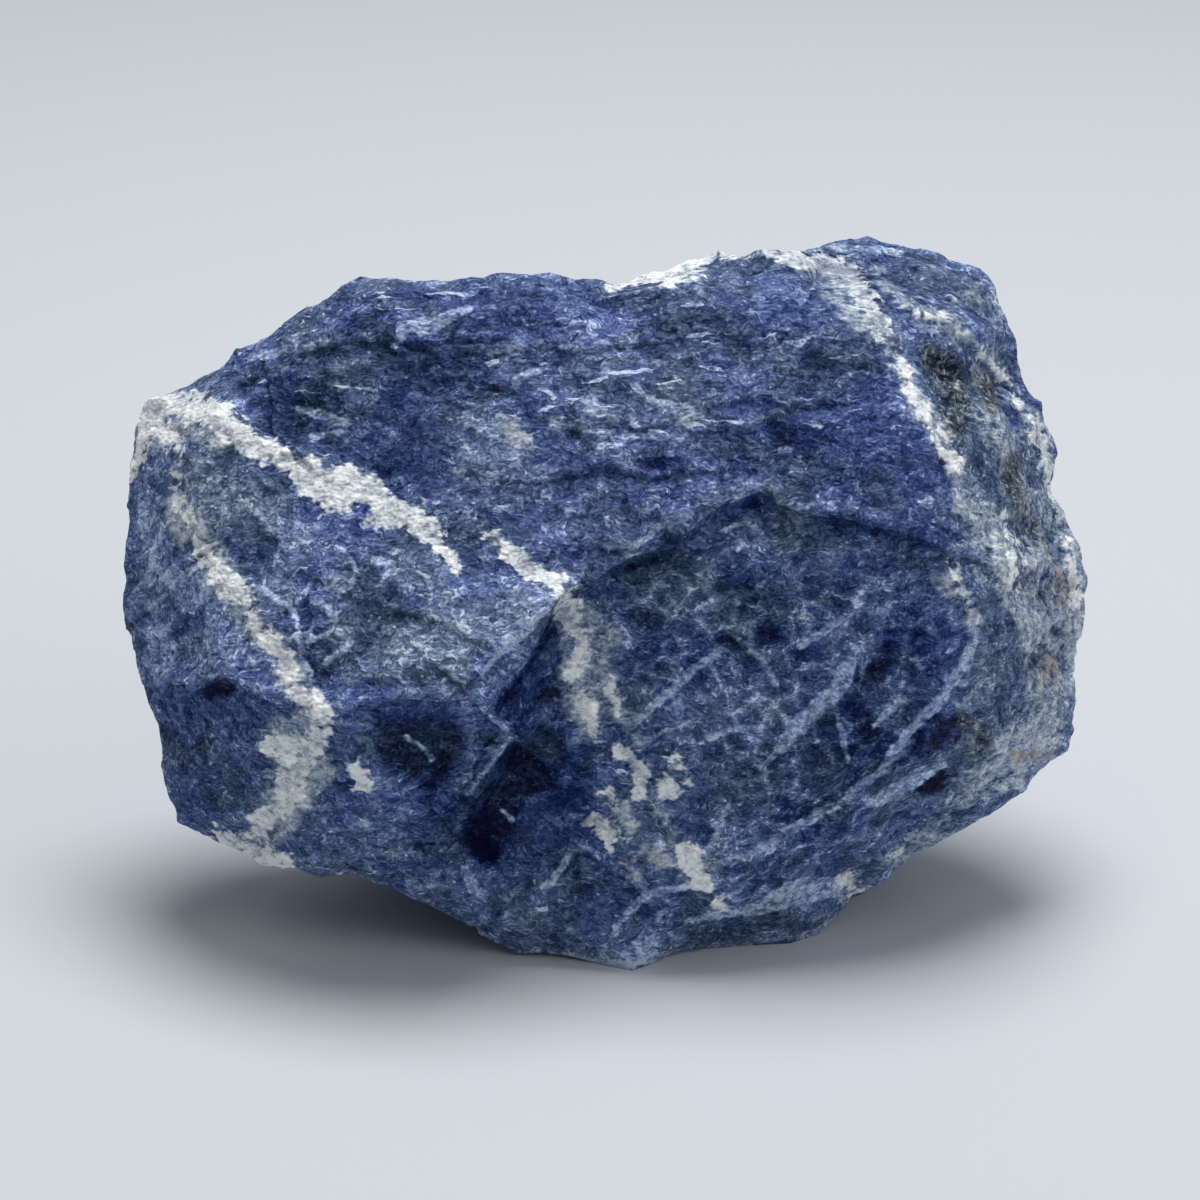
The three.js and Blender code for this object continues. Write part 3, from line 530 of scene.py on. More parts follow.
BACK_CREAM = {
    "from the upper left corner": [
        (150, 400, 12), (190, 420, 14), (240, 430, 10), (300, 470, 8), (330, 520, 4),
    ],
    "over the top from the right": [
        (768, 254, 10), (790, 285, 16), (770, 330, 18), (742, 380, 14), (700, 430, 12), (662, 500, 14),
        (640, 560, 16), (600, 620, 12), (560, 670, 8), (530, 720, 4),
    ],
    "knob behind the crest": [(640, 275, 8), (690, 268, 16), (742, 258, 12)],
    "from the left lobe": [(240, 850, 22), (265, 815, 16), (300, 770, 14), (350, 735, 10), (400, 700, 5)],
    "underside": [(700, 915, 10), (690, 860, 12), (655, 800, 10), (630, 760, 5)],
}
BACK_DULL = {
    "beside the long vein": [
        (740, 300, 22), (720, 360, 24), (690, 420, 16), (650, 470, 20), (610, 580, 22),
    ],
    "from the right side": [(1040, 560, 30), (1000, 600, 22), (960, 640, 12), (910, 660, 6)],
    "left": [(180, 560, 18), (215, 600, 20), (240, 650, 14), (280, 690, 8)],
}
BACK_SEAMS = {
    "across": [(330, 380, 4), (400, 430, 5), (470, 450, 4), (560, 480, 5), (640, 500, 4)],
    "down": [(820, 330, 4), (840, 420, 5), (860, 500, 4), (850, 600, 5), (880, 690, 4)],
    "low": [(420, 620, 4), (470, 680, 5), (540, 740, 5), (640, 790, 4)],
    "right": [(700, 600, 4), (760, 640, 5), (820, 700, 5), (860, 760, 4)],
}
BACK_RIND = {
    "right end": [(1050, 420, 46), (1070, 500, 60), (1080, 600, 66), (1070, 700, 60), (1010, 790, 40)],
    "top": [(960, 270, 20), (1000, 310, 30), (1010, 370, 30)],
}
BACK_STAINS = {
    "patch": [(430, 560, 12), (450, 590, 16), (440, 620, 10)],
    "right": [(985, 470, 14), (1000, 520, 12)],
}
BACK_ROYAL = [
    (0.9, [(300, 500, 40), (400, 600, 40)]),
    (-0.9, [(620, 420, 40), (560, 560, 40)]),
    (0.8, [(800, 600, 40), (900, 700, 30)]),
]
BACK_SHADES = [
    (-0.6, [(380, 520, 40), (450, 560, 50), (500, 600, 30)]),
    (-0.5, [(760, 480, 40), (820, 520, 40)]),
    (0.5, [(560, 360, 40), (620, 420, 40)]),
    (0.4, [(280, 560, 40), (300, 640, 30)]),
    (0.45, [(880, 380, 30), (930, 440, 34)]),
    (-0.6, [(720, 700, 40), (760, 760, 30)]),
]


# ---------------------------------------------------------------------------------------------------
# Node trees

HALF = (0.5, 0.5, 0.5)
MIX_INPUTS, MIX_OUTPUT = (6, 7), 2  # a mix node's sockets for colours


class Nodes:
    """Builds a node tree. A value is a number, a colour or another node's output."""

    def __init__(self, tree):
        self.tree = tree

    def put(self, socket, value):
        if isinstance(value, bpy.types.NodeSocket):
            self.tree.links.new(value, socket)
        else:
            socket.default_value = value

    def node(self, kind, inputs, **settings):
        made = self.tree.nodes.new(kind)
        for name, value in settings.items():
            setattr(made, name, value)
        for name, value in inputs.items():
            self.put(made.inputs[name], value)
        return made

    def math(self, operation, a, b=0.0, c=0.0):
        return self.node("ShaderNodeMath", {0: a, 1: b, 2: c}, operation=operation).outputs[0]

    def times(self, a, b, plus=0.0):
        return self.math("MULTIPLY_ADD", a, b, plus)

    def total(self, *parts, plus=0.0):
        """The sum of (value, weight) parts."""
        for value, weight in parts:
            plus = self.times(value, weight, plus)
        return plus

    def ranged(self, value, low, high, to_low=0.0, to_high=1.0):
        inputs = {"Value": value, "From Min": low, "From Max": high, "To Min": to_low, "To Max": to_high}
        return self.node("ShaderNodeMapRange", inputs, interpolation_type="SMOOTHSTEP").outputs[0]

    def attribute(self, name):
        return self.node("ShaderNodeAttribute", {}, attribute_name=name).outputs["Fac"]

    def noise(self, at, scale, detail, roughness=0.5):
        inputs = {"Vector": at, "Scale": scale, "Detail": detail, "Roughness": roughness}
        return self.node("ShaderNodeTexNoise", inputs).outputs

    def cells(self, at, scale, feature="F1"):
        return self.node("ShaderNodeTexVoronoi", {"Vector": at, "Scale": scale}, feature=feature).outputs

    def part(self, colour, number=0):
        return self.node("ShaderNodeSeparateColor", {0: colour}).outputs[number]

    def vector(self, operation, a, b, c=(0, 0, 0), output=0):
        return self.node("ShaderNodeVectorMath", {0: a, 1: b, 2: c}, operation=operation).outputs[output]

    def ramp(self, value, stops):
        made = self.node("ShaderNodeValToRGB", {0: value})
        elements = made.color_ramp.elements
        while len(elements) < len(stops):
            elements.new(0.5)
        for element, (place, colour) in zip(elements, stops):
            element.position = place
            element.color = colour
        return made.outputs[0]

    def mix(self, share, a, b):
        inputs = {"Factor": share, MIX_INPUTS[0]: a, MIX_INPUTS[1]: b}
        return self.node("ShaderNodeMix", inputs, data_type="RGBA").outputs[MIX_OUTPUT]

    def frayed(self, name, fray, low, high):
        """The share of a marking, whose edge is frayed by the grain."""
        return self.ranged(self.math("ADD", self.attribute(name), fray), low, high)

    def shards(self, at, scale):
        """Broken flakes: a tone of each one's own about 0, and how far each place on it tilts out."""
        cells = self.cells(at, scale)
        slope = self.vector("SUBTRACT", cells["Color"], HALF)
        away = self.vector("SUBTRACT", at, cells["Position"])
        tilt = self.vector("DOT_PRODUCT", slope, away, output="Value")
        return self.math("SUBTRACT", self.part(cells["Color"]), 0.5), tilt


# ---------------------------------------------------------------------------------------------------
# Camera, light and floor


def toward_eye():
    return Vector((0, -math.cos(LEAN), math.sin(LEAN)))


def linked(name, data):
    """A new object in the scene."""
    made = bpy.data.objects.new(name, data)
    bpy.context.scene.collection.objects.link(made)
    return made


def turn_to(made, place, looking):
    made.location = place
    made.rotation_euler = looking.to_track_quat("-Z", "Y").to_euler()


def new_material(name):
    """A new material and its shader."""
    material = bpy.data.materials.new(name)
    material.use_nodes = True
    return material, material.node_tree.nodes["Principled BSDF"]


def make_camera():
    data = bpy.data.cameras.new("camera")
    data.sensor_width = SENSOR
    data.lens = SENSOR * FOCAL_PIXELS / PICTURE
    data.clip_start = NEAREST
    camera = linked("camera", data)
    turn_to(camera, AIM + toward_eye() * SIGHT, -toward_eye())
    bpy.context.scene.camera = camera


def make_softbox(place, size, power):
    data = bpy.data.lights.new("softbox", "AREA")
    data.shape = "DISK"
    data.size = size
    data.energy = power
    turn_to(linked("softbox", data), place, AIM - Vector(place))


def make_dome():
    world = bpy.data.worlds.new("studio")
    world.use_nodes = True
    n = Nodes(world.node_tree)
    sky = n.node("ShaderNodeSeparateXYZ", {0: n.node("ShaderNodeTexCoord", {}).outputs["Generated"]})
    brightness = {"Value": sky.outputs["Z"], "To Min": DOME_EDGE, "To Max": DOME_TOP}
    background = world.node_tree.nodes["Background"]
    background.inputs["Color"].default_value = DOME_COLOUR
    n.put(background.inputs["Strength"], n.node("ShaderNodeMapRange", brightness).outputs[0])
    bpy.context.scene.world = world


def make_light():
    for softbox in SOFTBOXES:
        make_softbox(*softbox)
    make_dome()
    scene = bpy.context.scene
    scene.view_settings.view_transform = "Standard"
    # Matt stone on a matt floor: what has bounced twice hardly matters.
    scene.cycles.max_bounces = 3
    scene.cycles.diffuse_bounces = 2
    scene.cycles.glossy_bounces = 1


def make_floor():
    side = FLOOR_SIDE / 2
    corners = [(-side, -side, 0), (side, -side, 0), (side, side, 0), (-side, side, 0)]
    mesh = bpy.data.meshes.new("floor")
    mesh.from_pydata(corners, [], [(0, 1, 2, 3)])
    floor = linked("floor", mesh)
    material, shader = new_material("floor")
    shader.inputs["Base Color"].default_value = FLOOR_COLOUR
    shader.inputs["Roughness"].default_value = FLOOR_ROUGHNESS
    mesh.materials.append(material)


# ---------------------------------------------------------------------------------------------------
# Noise, on arrays of points

# A hash of whole numbers: one factor for each axis, one for the seed, and its rounds as (shift, factor).
AXIS_FACTORS = (73856093, 19349663, 83492791)
SEED_FACTOR = 2654435761
ROUNDS = ((15, 2246822519), (13, 3266489917))
LAST_SHIFT = 16
WORD = 0xFFFFFFFF  # the bits that the hash keeps
NOISE_GAIN = 1.7  # brings gradient noise to about -1 to 1
FACET_EASE = 0.08  # how softly one facet passes into the next, in cells
BEYOND = 9.0  # cells: further than any cell's middle
TREAD = 0.72  # the share of each terrace that is flat


def lattice_random(cells, seed):
    """Three random numbers from 0 to 1 for each whole-numbered cell."""
    mixed = np.bitwise_xor.reduce(cells * AXIS_FACTORS, axis=1)
    mixed = (mixed + seed * SEED_FACTOR) & WORD
    numbers = np.empty((len(cells), 3))
    for axis in range(3):
        for shift, factor in ROUNDS:
            mixed = ((mixed ^ (mixed >> shift)) * factor) & WORD
        mixed = mixed ^ (mixed >> LAST_SHIFT)
        numbers[:, axis] = mixed / (WORD + 1)
    return numbers


def smooth_noise(points, size, seed):
    """Gradient noise from about -1 to 1, in lumps of that size."""
    scaled = points / size
    low = np.floor(scaled)
    part = scaled - low
    fade = part**3 * (part * (part * 6 - 15) + 10)  # 0 to 1, and level at both ends
    total = np.zeros(len(points))
    for corner in product((0, 1), repeat=3):
        slope = lattice_random((low + corner).astype(np.int64), seed) * 2 - 1
        weight = np.prod(np.where(corner, fade, 1 - fade), axis=1)
        total += weight * np.einsum("ij,ij->i", slope, part - corner)
    return total * NOISE_GAIN


def layered_noise(points, size, seed, layers=3):
    total = np.zeros(len(points))
    for layer in range(layers):
        total += smooth_noise(points, size / 2**layer, seed + layer) / 2**layer
    return total


def facets(points, size, seed):
    """Cells of that size, each a plane tilted its own way: heights from about -1 to 1."""
    scaled = points / size
    low = np.floor(scaled)
    count = len(points)
    near, second = np.full(count, BEYOND), np.full(count, BEYOND)
    near_height, second_height = np.zeros(count), np.zeros(count)
    for corner in product((-1, 0, 1), repeat=3):
        cell = (low + corner).astype(np.int64)
        random = lattice_random(cell, seed)
        away = scaled - cell - random
        distance = np.sqrt(np.einsum("ij,ij->i", away, away))
        height = np.einsum("ij,ij->i", random[:, [1, 2, 0]] * 2 - 1, away)
        nearest = distance < near
        runner_up = ~nearest & (distance < second)
        second = np.where(nearest, near, np.where(runner_up, distance, second))
        second_height = np.where(nearest, near_height, np.where(runner_up, height, second_height))
        near = np.where(nearest, distance, near)
        near_height = np.where(nearest, height, near_height)
    share = 0.5 + 0.5 * smooth_step(0, FACET_EASE, second - near)
    return near_height * share + second_height * (1 - share)


def terraces(level, steps):
    """Flat treads with steep, scalloped fronts, where "level" is from about -1 to 1."""
    stair = level * steps
    tread = np.floor(stair)
    return (tread + smooth_step(TREAD, 1.0, stair - tread)) / steps


def smooth_step(low, high, value):
    t = np.clip((value - low) / (high - low), 0, 1)
    return t * t * (3 - 2 * t)


# ---------------------------------------------------------------------------------------------------
# Mesh arrays

CAD_DECIMALS = 7  # in metres: points of the CAD solid that agree to these are one
NO_LENGTH = 1e-20
EASING = (0.55, -0.56)  # each round moves a point by this share toward its neighbours, then back


def mesh_arrays(mesh):
    points = np.empty(len(mesh.vertices) * 3)
    mesh.vertices.foreach_get("co", points)
    mesh.calc_loop_triangles()
    triangles = np.empty(len(mesh.loop_triangles) * 3, dtype=np.int64)
    mesh.loop_triangles.foreach_get("vertices", triangles)
    return points.reshape(-1, 3), triangles.reshape(-1, 3)


def cad_arrays(node):
    """The CAD node's points and triangles, with points that coincide merged."""
    points, triangles = mesh_arrays(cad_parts[node].data)
    merged, place = np.unique(np.round(points, CAD_DECIMALS), axis=0, return_inverse=True)
    return merged, place.reshape(-1)[triangles]


def edges_of(triangles):
    """Each edge once, and for each triangle the numbers of its three edges."""
    pairs = np.sort(np.concatenate([triangles[:, [i, (i + 1) % 3]] for i in range(3)]), axis=1)
    keys = pairs[:, 0] * (triangles.max() + 1) + pairs[:, 1]
    _, first, number = np.unique(keys, return_index=True, return_inverse=True)
    return pairs[first], number.reshape(3, -1).T


def face_normals(points, triangles):
    a, b, c = (points[triangles[:, i]] for i in range(3))
    return np.cross(b - a, c - a)


def unit(vectors):
    return vectors / np.maximum(np.linalg.norm(vectors, axis=1, keepdims=True), NO_LENGTH)


def normals_of(points, triangles):
    faces = face_normals(points, triangles)
    sums = [
        sum(np.bincount(triangles[:, i], weights=faces[:, axis], minlength=len(points)) for i in range(3))
        for axis in range(3)
    ]
    return unit(np.stack(sums, axis=1))


def split(points, triangles):
    """Each triangle in four. Also says which points lie on edges that turn sharply."""
    edges, number = edges_of(triangles)
    normals = unit(face_normals(points, triangles))
    sums = [np.bincount(number.ravel(), weights=np.repeat(normals[:, axis], 3)) for axis in range(3)]
    sharp = np.linalg.norm(sums, axis=0) < 2 * math.cos(CREASE / 2)
    crisp = np.zeros(len(points), dtype=bool)
    crisp[edges[sharp].ravel()] = True
    a, b, c = triangles.T
    ab, bc, ca = (number + len(points)).T
    corners = [(a, ab, ca), (ab, b, bc), (ca, bc, c), (ab, bc, ca)]
    triangles = np.concatenate([np.stack(corner, axis=1) for corner in corners])
    return np.concatenate([points, points[edges].mean(axis=1)]), triangles, np.concatenate([crisp, sharp])


class Neighbours:
    """Means over the neighbours of each point."""

    def __init__(self, triangles, count):
        edges, _ = edges_of(triangles)
        self.ends = np.concatenate([edges[:, 0], edges[:, 1]])
        self.others = np.concatenate([edges[:, 1], edges[:, 0]])
        self.count = count
        self.degree = np.bincount(self.ends, minlength=count)

    def mean(self, values):
        return np.bincount(self.ends, weights=values[self.others], minlength=self.count) / self.degree

    def means(self, vectors):
        return np.stack([self.mean(vectors[:, axis]) for axis in range(3)], axis=1)


def eased(points, triangles, rounds, held):
    """Smooths without shrinking: each round eases, then swells back. The held points stay."""
    near = Neighbours(triangles, len(points))
    for _ in range(rounds):
        for step in EASING:
            moved = points + (near.means(points) - points) * step
            points = np.where(held[:, None], points, moved)
    return points


# ---------------------------------------------------------------------------------------------------
# Fields of markings

OUTSIDE = -2.0  # what lies further outside a marking counts as this, in mm or in half widths
FAR = 1e9  # pixels
FRONT_EDGE = (-0.22, 0.02)  # how a face that turns from the eye passes from the back to the front
ZONE_EDGE = (-0.2, 0.6)  # where a zone fades out and is whole, as shares of a stroke
PATCH_EDGE = (-0.5, 0.75)  # the same for a patch of shade
WAVES = 2.2  # mm: how long the waves of most markings' edges are
DOWN_SEED = 7  # added to the seed for the wandering up and down

# How far the markings wander off their strokes: (reach in pixels, seed, length of the waves in mm).
SCARP_WANDER = (3, 5, WAVES)
SEAM_WANDER = (2, 350, 1.2)
VEIN_WANDER = (4, 300, WAVES)
PATCH_WANDER = (5, 450, 2)
RIND_WANDER = (7, 200, WAVES)
LOOSE_WANDER = (7, 400, WAVES)
ROYAL_WANDER = (9, 500, 3)


class Sight:
    """Points of the stone as the camera sees them."""

    def __init__(self, points, normals):
        toward, right = np.array(toward_eye()), np.array((1.0, 0, 0))
        up = np.cross(toward, right)
        away = points - np.array(AIM)
        depth = SIGHT - away @ toward
        self.x = PICTURE / 2 + FOCAL_PIXELS * (away @ right) / depth
        self.y = PICTURE / 2 - FOCAL_PIXELS * (away @ up) / depth
        self.front = smooth_step(*FRONT_EDGE, normals @ toward)
        # Along the drawing's own axes, in mm: across, up and toward.
        self.drawn = np.stack([away @ right, away @ up, away @ toward], axis=1) / MM

    def wandering(self, reach, seed, size):
        """The picture place of each point, wandering by up to about that many pixels."""
        x = self.x + reach * layered_noise(self.drawn, size, seed)
        y = self.y + reach * layered_noise(self.drawn, size, seed + DOWN_SEED)
        return x, y


def segments(line):
    return zip(line[:-1], line[1:])


def from_line(x, y, start, end):
    """How far each place is from a stretch of line, and how far along it that is, from 0 to 1."""
    (ax, ay), (bx, by) = start[:2], end[:2]
    dx, dy = bx - ax, by - ay
    along = np.clip(((x - ax) * dx + (y - ay) * dy) / (dx * dx + dy * dy), 0, 1)
    return np.hypot(x - ax - along * dx, y - ay - along * dy), along


def stroke_parts(x, y, line):
    """For each stretch of a stroke: the distance from it, and half its width there, in pixels."""
    for start, end in segments(line):
        distance, along = from_line(x, y, start, end)
        yield distance, start[2] + (end[2] - start[2]) * along


def stroke_share(x, y, line):
    """1 on a stroke's middle, 0 at its edge, and under 0 outside it."""
    share = np.full(len(x), OUTSIDE)
    for distance, half in stroke_parts(x, y, line):
        share = np.maximum(share, 1 - distance / half)
    return share


def stroke_depth(x, y, line):
    """How deep inside a stroke each place is, in mm of stone: under 0 outside it."""
    depth = np.full(len(x), OUTSIDE)
    for distance, half in stroke_parts(x, y, line):
        depth = np.maximum(depth, (half - distance) * MM_A_PIXEL)
    return depth


def strongest(field, place, lines):
    return np.max([field(*place, line) for line in lines], axis=0)


def marked(sight, place, front, back=None):
    """How deep in the front's strokes the front is, and in the back's the back, in mm."""
    ahead = strongest(stroke_depth, place, front.values())
    behind = strongest(stroke_depth, place, back.values()) if back else OUTSIDE
    return behind + (ahead - behind) * sight.front


def panel_share(x, y, outline, softness):
    """1 inside an outline and 0 outside it, with an edge that soft."""
    inside, edge = np.zeros(len(x), dtype=bool), np.full(len(x), FAR)
    for start, end in segments(outline + outline[:1]):
        edge = np.minimum(edge, from_line(x, y, start, end)[0])
        (ax, ay), (bx, by) = start, end
        if ay != by:
            inside ^= ((y < ay) != (y < by)) & (x < ax + (y - ay) * (bx - ax) / (by - ay))
    return smooth_step(-softness, softness, np.where(inside, edge, -edge))


def zone(sight, lines):
    """The share of a loosely bounded zone, from 0 to 1."""
    return smooth_step(*ZONE_EDGE, strongest(stroke_share, (sight.x, sight.y), lines))


def shaded(sight, place, front, back):
    """The sum of the patches, lighter over 0 and darker under it."""
    total = np.zeros(len(sight.x))
    for weight, patches in ((sight.front, front), (1 - sight.front, back)):
        for shade, line in patches:
            total += weight * shade * smooth_step(*PATCH_EDGE, stroke_share(*place, line))
    return total


def panelled(sight, place):
    """The sum of the panels' painted shade and painted light."""
    return sight.front * sum(shade * panel_share(*place, outline, soft) for shade, soft, outline in PANELS)


def scarp(x, y, line):
    """Distance to the line, over 0 on its left and under 0 on its right."""
    best, side = np.full(len(x), FAR), np.zeros(len(x))
    for start, end in segments(line):
        distance, _ = from_line(x, y, start, end)
        (ax, ay), (bx, by) = start, end
        turned = np.sign((y - ay) * (bx - ax) - (x - ax) * (by - ay))
        side = np.where(distance < best, turned, side)
        best = np.minimum(best, distance)
    return -best * side


# ---------------------------------------------------------------------------------------------------
# The stone's mesh

RIND_EDGE = (-0.3, 0.6)  # mm: where the weathered skin fades out and is whole
ON_THE_FLAT = 1e-6  # in metres: points lower than this lie on the flat that the stone rests on
EDGE_BLUR = 2  # pixels: how far a scarp's edge reaches to each side

# The broken surface. Each layer: (height in mm, size in mm, seed), and for ledges how many steps.
BROAD_FLAKES = (0.24, 4.4, 11)
FLAKES = (0.11, 2.0, 21)
CHIPS = (0.05, 0.95, 31)
LEDGES = (0.20, 5.0, 81, 4)
SPLINTERS = (0.12, 1.3, 41)
SPLINTER_LEDGES = (0.12, 1.8, 45, 2)
GRIT = (0.04, 0.9, 61)
RIND_GRIT = (0.10, 0.8, 64)
BENDS = (0.7, 2.6, (71, 72, 73))  # how far the flakes' edges wander, how long the waves are, the seeds
CHIP_BEND, SPLINTER_BEND = 0.6, 0.5  # the share of it that these take part in
CELLED_FLAKES = 0.5  # the share of the flakes' height that is lost on celled ground
SPLINTER_RUN = (0.38, 1.0, 0.6)  # splinters are long across the broad face

CREST = (5, -0.10, 0.06)  # the rounds of means that it stands out of, and its least and most in mm
HOLLOW_ROUNDS = 60
SHADE_CLOUDS = (0.20, 7, 91, 3)  # (weight, size in mm, seed, layers)
ROYAL_CLOUDS = (0.8, 5, 95, 3)


def layered(points, height, size, seed, layers=2):
    return height * layered_noise(points, size, seed, layers)


def flaked(points, height, size, seed):
    return height * facets(points, size, seed)


def ledged(points, height, size, seed, steps):
    return height * terraces(layered_noise(points, size, seed, 2), steps)


def relief(points, normals):
    """How far each point stands out of the smoothed stone, in mm."""
    sight = Sight(points, normals)
    mm = points / MM
    splinter = zone(sight, SPLINTERED) * sight.front
    celled = zone(sight, CELLED) * sight.front
    rind = smooth_step(*RIND_EDGE, rind_field(sight))

    sway, waves, seeds = BENDS
    bend = np.stack([layered(mm, sway, waves, seed) for seed in seeds], axis=1)
    across = np.array(SPLINTER_RUN) * sight.drawn
    height = flaked(mm + bend, *BROAD_FLAKES)
    height += (1 - CELLED_FLAKES * celled) * flaked(mm + bend, *FLAKES)
    height += flaked(mm + CHIP_BEND * bend, *CHIPS)
    height += ledged(mm, *LEDGES)
    height += splinter * flaked(across + SPLINTER_BEND * bend, *SPLINTERS)
    height += splinter * ledged(across, *SPLINTER_LEDGES)
    height += layered(mm, *GRIT)
    height += rind * layered(mm, *RIND_GRIT)

    x, y = sight.wandering(*SCARP_WANDER)
    for drop, reach, line in SCARPS:
        distance = scarp(x, y, line)
        raised = drop * np.exp(-np.abs(distance) / reach)
        height += sight.front * raised * (smooth_step(-EDGE_BLUR, EDGE_BLUR, distance) - 0.5)
    for px, py, radius, depth in PITS:
        height -= sight.front * depth * np.exp(-(((x - px) ** 2 + (y - py) ** 2) / radius**2))
    return height


def seam_field(sight):
    return marked(sight, sight.wandering(*SEAM_WANDER), SEAMS, BACK_SEAMS)


def rind_field(sight):
    return marked(sight, sight.wandering(*RIND_WANDER), RIND, BACK_RIND)


def broken_stone():
    """The CAD stone, split finer and broken up."""
    points, triangles = cad_arrays("sodalite")
    for number in range(1, SPLITS + 1):
        points, triangles, crisp = split(points, triangles)
        held = crisp | (points[:, 2] < ON_THE_FLAT)
        points = eased(points, triangles, SMOOTHING.get(number, 0), held)
    normals = normals_of(points, triangles)
    fade = smooth_step(0, GROUND_FADE, points[:, 2])
    points = points + normals * (relief(points, normals) * MM * fade)[:, None]
    points[:, 2] = np.maximum(points[:, 2], 0)
    return points, triangles


def fine_spots(points, triangles):
    """The points that a thin seam or a scarp's edge passes."""
    sight = Sight(points, normals_of(points, triangles))
    x, y = sight.wandering(*SCARP_WANDER)
    edge = np.min([np.abs(scarp(x, y, line)) for _, _, line in SCARPS], axis=0)
    return (seam_field(sight) > -KEPT_NEAR) | ((edge < KEPT_BESIDE) & (sight.front > 0.5))


def thinned(points, triangles):
    """A mesh of the stone with no more than TRIANGLES of them, finest at its seams and edges."""
    mesh = bpy.data.meshes.new("broken stone")
    mesh.from_pydata(points, [], triangles)
    if len(triangles) <= TRIANGLES:
        return mesh
    whole = linked("broken stone", mesh)
    spare = whole.vertex_groups.new(name="spare")
    spare.add(np.flatnonzero(~fine_spots(points, triangles)).tolist(), 1.0, "REPLACE")
    decimate = whole.modifiers.new("thin", "DECIMATE")
    decimate.vertex_group = spare.name
    decimate.ratio = TRIANGLES / len(triangles)
    graph = bpy.context.evaluated_depsgraph_get()
    thin = bpy.data.meshes.new_from_object(whole.evaluated_get(graph))
    bpy.data.objects.remove(whole)
    bpy.data.meshes.remove(mesh)
    return thin


def crests(points, normals, near, rounds):
    """How far each point stands out of its surroundings, in mm: over 0 on ridges, under 0 in hollows."""
    level = points
    for _ in range(rounds):
        level = near.means(level)
    return np.einsum("ij,ij->i", points - level, normals) / MM


def paint(mesh):
    """Stores each field of markings, painted shade and painted light on the mesh, for the material to read.
    """
    points, triangles = mesh_arrays(mesh)
    normals = normals_of(points, triangles)
    near = Neighbours(triangles, len(points))
    sight = Sight(points, normals)
    mm = points / MM
    vein, loose = sight.wandering(*VEIN_WANDER), sight.wandering(*LOOSE_WANDER)
    patches = shaded(sight, sight.wandering(*PATCH_WANDER), SHADES, BACK_SHADES) + panelled(sight, vein)
    royal = shaded(sight, sight.wandering(*ROYAL_WANDER), ROYAL, BACK_ROYAL)
    rounds, least, most = CREST
    fields = {
        "cream": marked(sight, vein, CREAM_VEINS, BACK_CREAM),
        "seam": seam_field(sight),
        "dull": marked(sight, loose, DULL_VEINS, BACK_DULL),
        "rind": rind_field(sight),
        "stain": marked(sight, loose, STAINS, BACK_STAINS),
        "rust": marked(sight, loose, RUST),
        # Painted light and shade, with some lighter and darker ground and random clouds.
        "shade": patches + layered(mm, *SHADE_CLOUDS),
        "royal": royal + layered(mm, *ROYAL_CLOUDS),
        "splinter": zone(sight, SPLINTERED) * sight.front,
        "celled": zone(sight, CELLED),
        # Crest and hollow become painted light on ridges and bulges and painted shade in dips and hollows.
        "crest": np.clip(crests(points, normals, near, rounds), least, most),
        "hollow": crests(points, normals, near, HOLLOW_ROUNDS),
    }
    for name, field in fields.items():
        mesh.attributes.new(name, "FLOAT", "POINT").data.foreach_set("value", field.astype(np.float32))


def make_stone():
    mesh = thinned(*broken_stone())
    mesh.shade_smooth()
    paint(mesh)
    stone = linked("rough_sodalite", mesh)
    mesh.materials.append(stone_material())
    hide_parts("sodalite")
    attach(stone, "root")


# ---------------------------------------------------------------------------------------------------
# The stone's colours


def seen(red, green, blue):
    """The stone's own colour in linear light, where its upper face is seen as this sRGB one of 0 to 255."""
    light = Color((red / 255, green / 255, blue / 255)).from_srgb_to_scene_linear()
    return (*(max(value - GLARE, 0) / LIT for value in light), 1)


def ramp(*stops):
    """The colours of one kind of ground, darkest to palest, painted shade and highlights included: (place,
    red, green, blue).
    """
    return [(place, seen(*colour)) for place, *colour in stops]


SLATE = ramp(
    (0.0, 8, 16, 36), (0.2, 26, 38, 62), (0.38, 44, 58, 84), (0.54, 66, 80, 106),
    (0.70, 92, 107, 132), (0.85, 126, 140, 162), (1.0, 172, 184, 200),
)
ROYAL_BLUE = ramp(
    (0.0, 3, 13, 44), (0.2, 19, 33, 74), (0.38, 39, 54, 97), (0.54, 61, 76, 120),
    (0.70, 88, 103, 145), (0.85, 124, 140, 176), (1.0, 172, 186, 212),
)
DULL_GREY = ramp((0.2, 70, 85, 112), (0.45, 122, 135, 154), (0.7, 162, 170, 178), (1.0, 202, 206, 208))
RIND_GREY = ramp((0.15, 40, 50, 74), (0.4, 92, 106, 132), (0.65, 142, 152, 166), (1.0, 198, 202, 202))
CREAM_WHITE = ramp((0.15, 120, 130, 144), (0.4, 170, 177, 184), (0.65, 200, 204, 206), (1.0, 232, 233, 230))
STAIN_BLACK = ramp(
    (0.15, 14, 18, 24), (0.4, 44, 54, 64), (0.62, 78, 88, 96), (0.8, 112, 116, 116), (1.0, 160, 160, 154),
)
RUST_BROWN = seen(124, 108, 86)

# ---------------------------------------------------------------------------------------------------
# The stone's material. The scale of noise and cells is how many there are to a millimetre.

STONE_IOR = 1.48
STONE_SPECULAR = 0.12
CLOUDS = (0.75, 2, 0.6)  # (scale, detail, roughness)
FINE_GRIT = (2.2, 1, 0.7)
SPECKS = (6.0, 0)
FLAKE_CELLS, GRAIN_CELLS, DASH_CELLS, NET_CELLS = 0.95, 2.7, 1.35, 0.58
# How much denser than that they are across, up and toward.
GRIT_STRETCH, FLAKE_STRETCH = (0.7, 1.0, 0.9), (0.62, 1.0, 0.85)
DASH_STRETCH, NET_STRETCH = (0.24, 1.3, 0.7), (0.85, 1.0, 1.0)
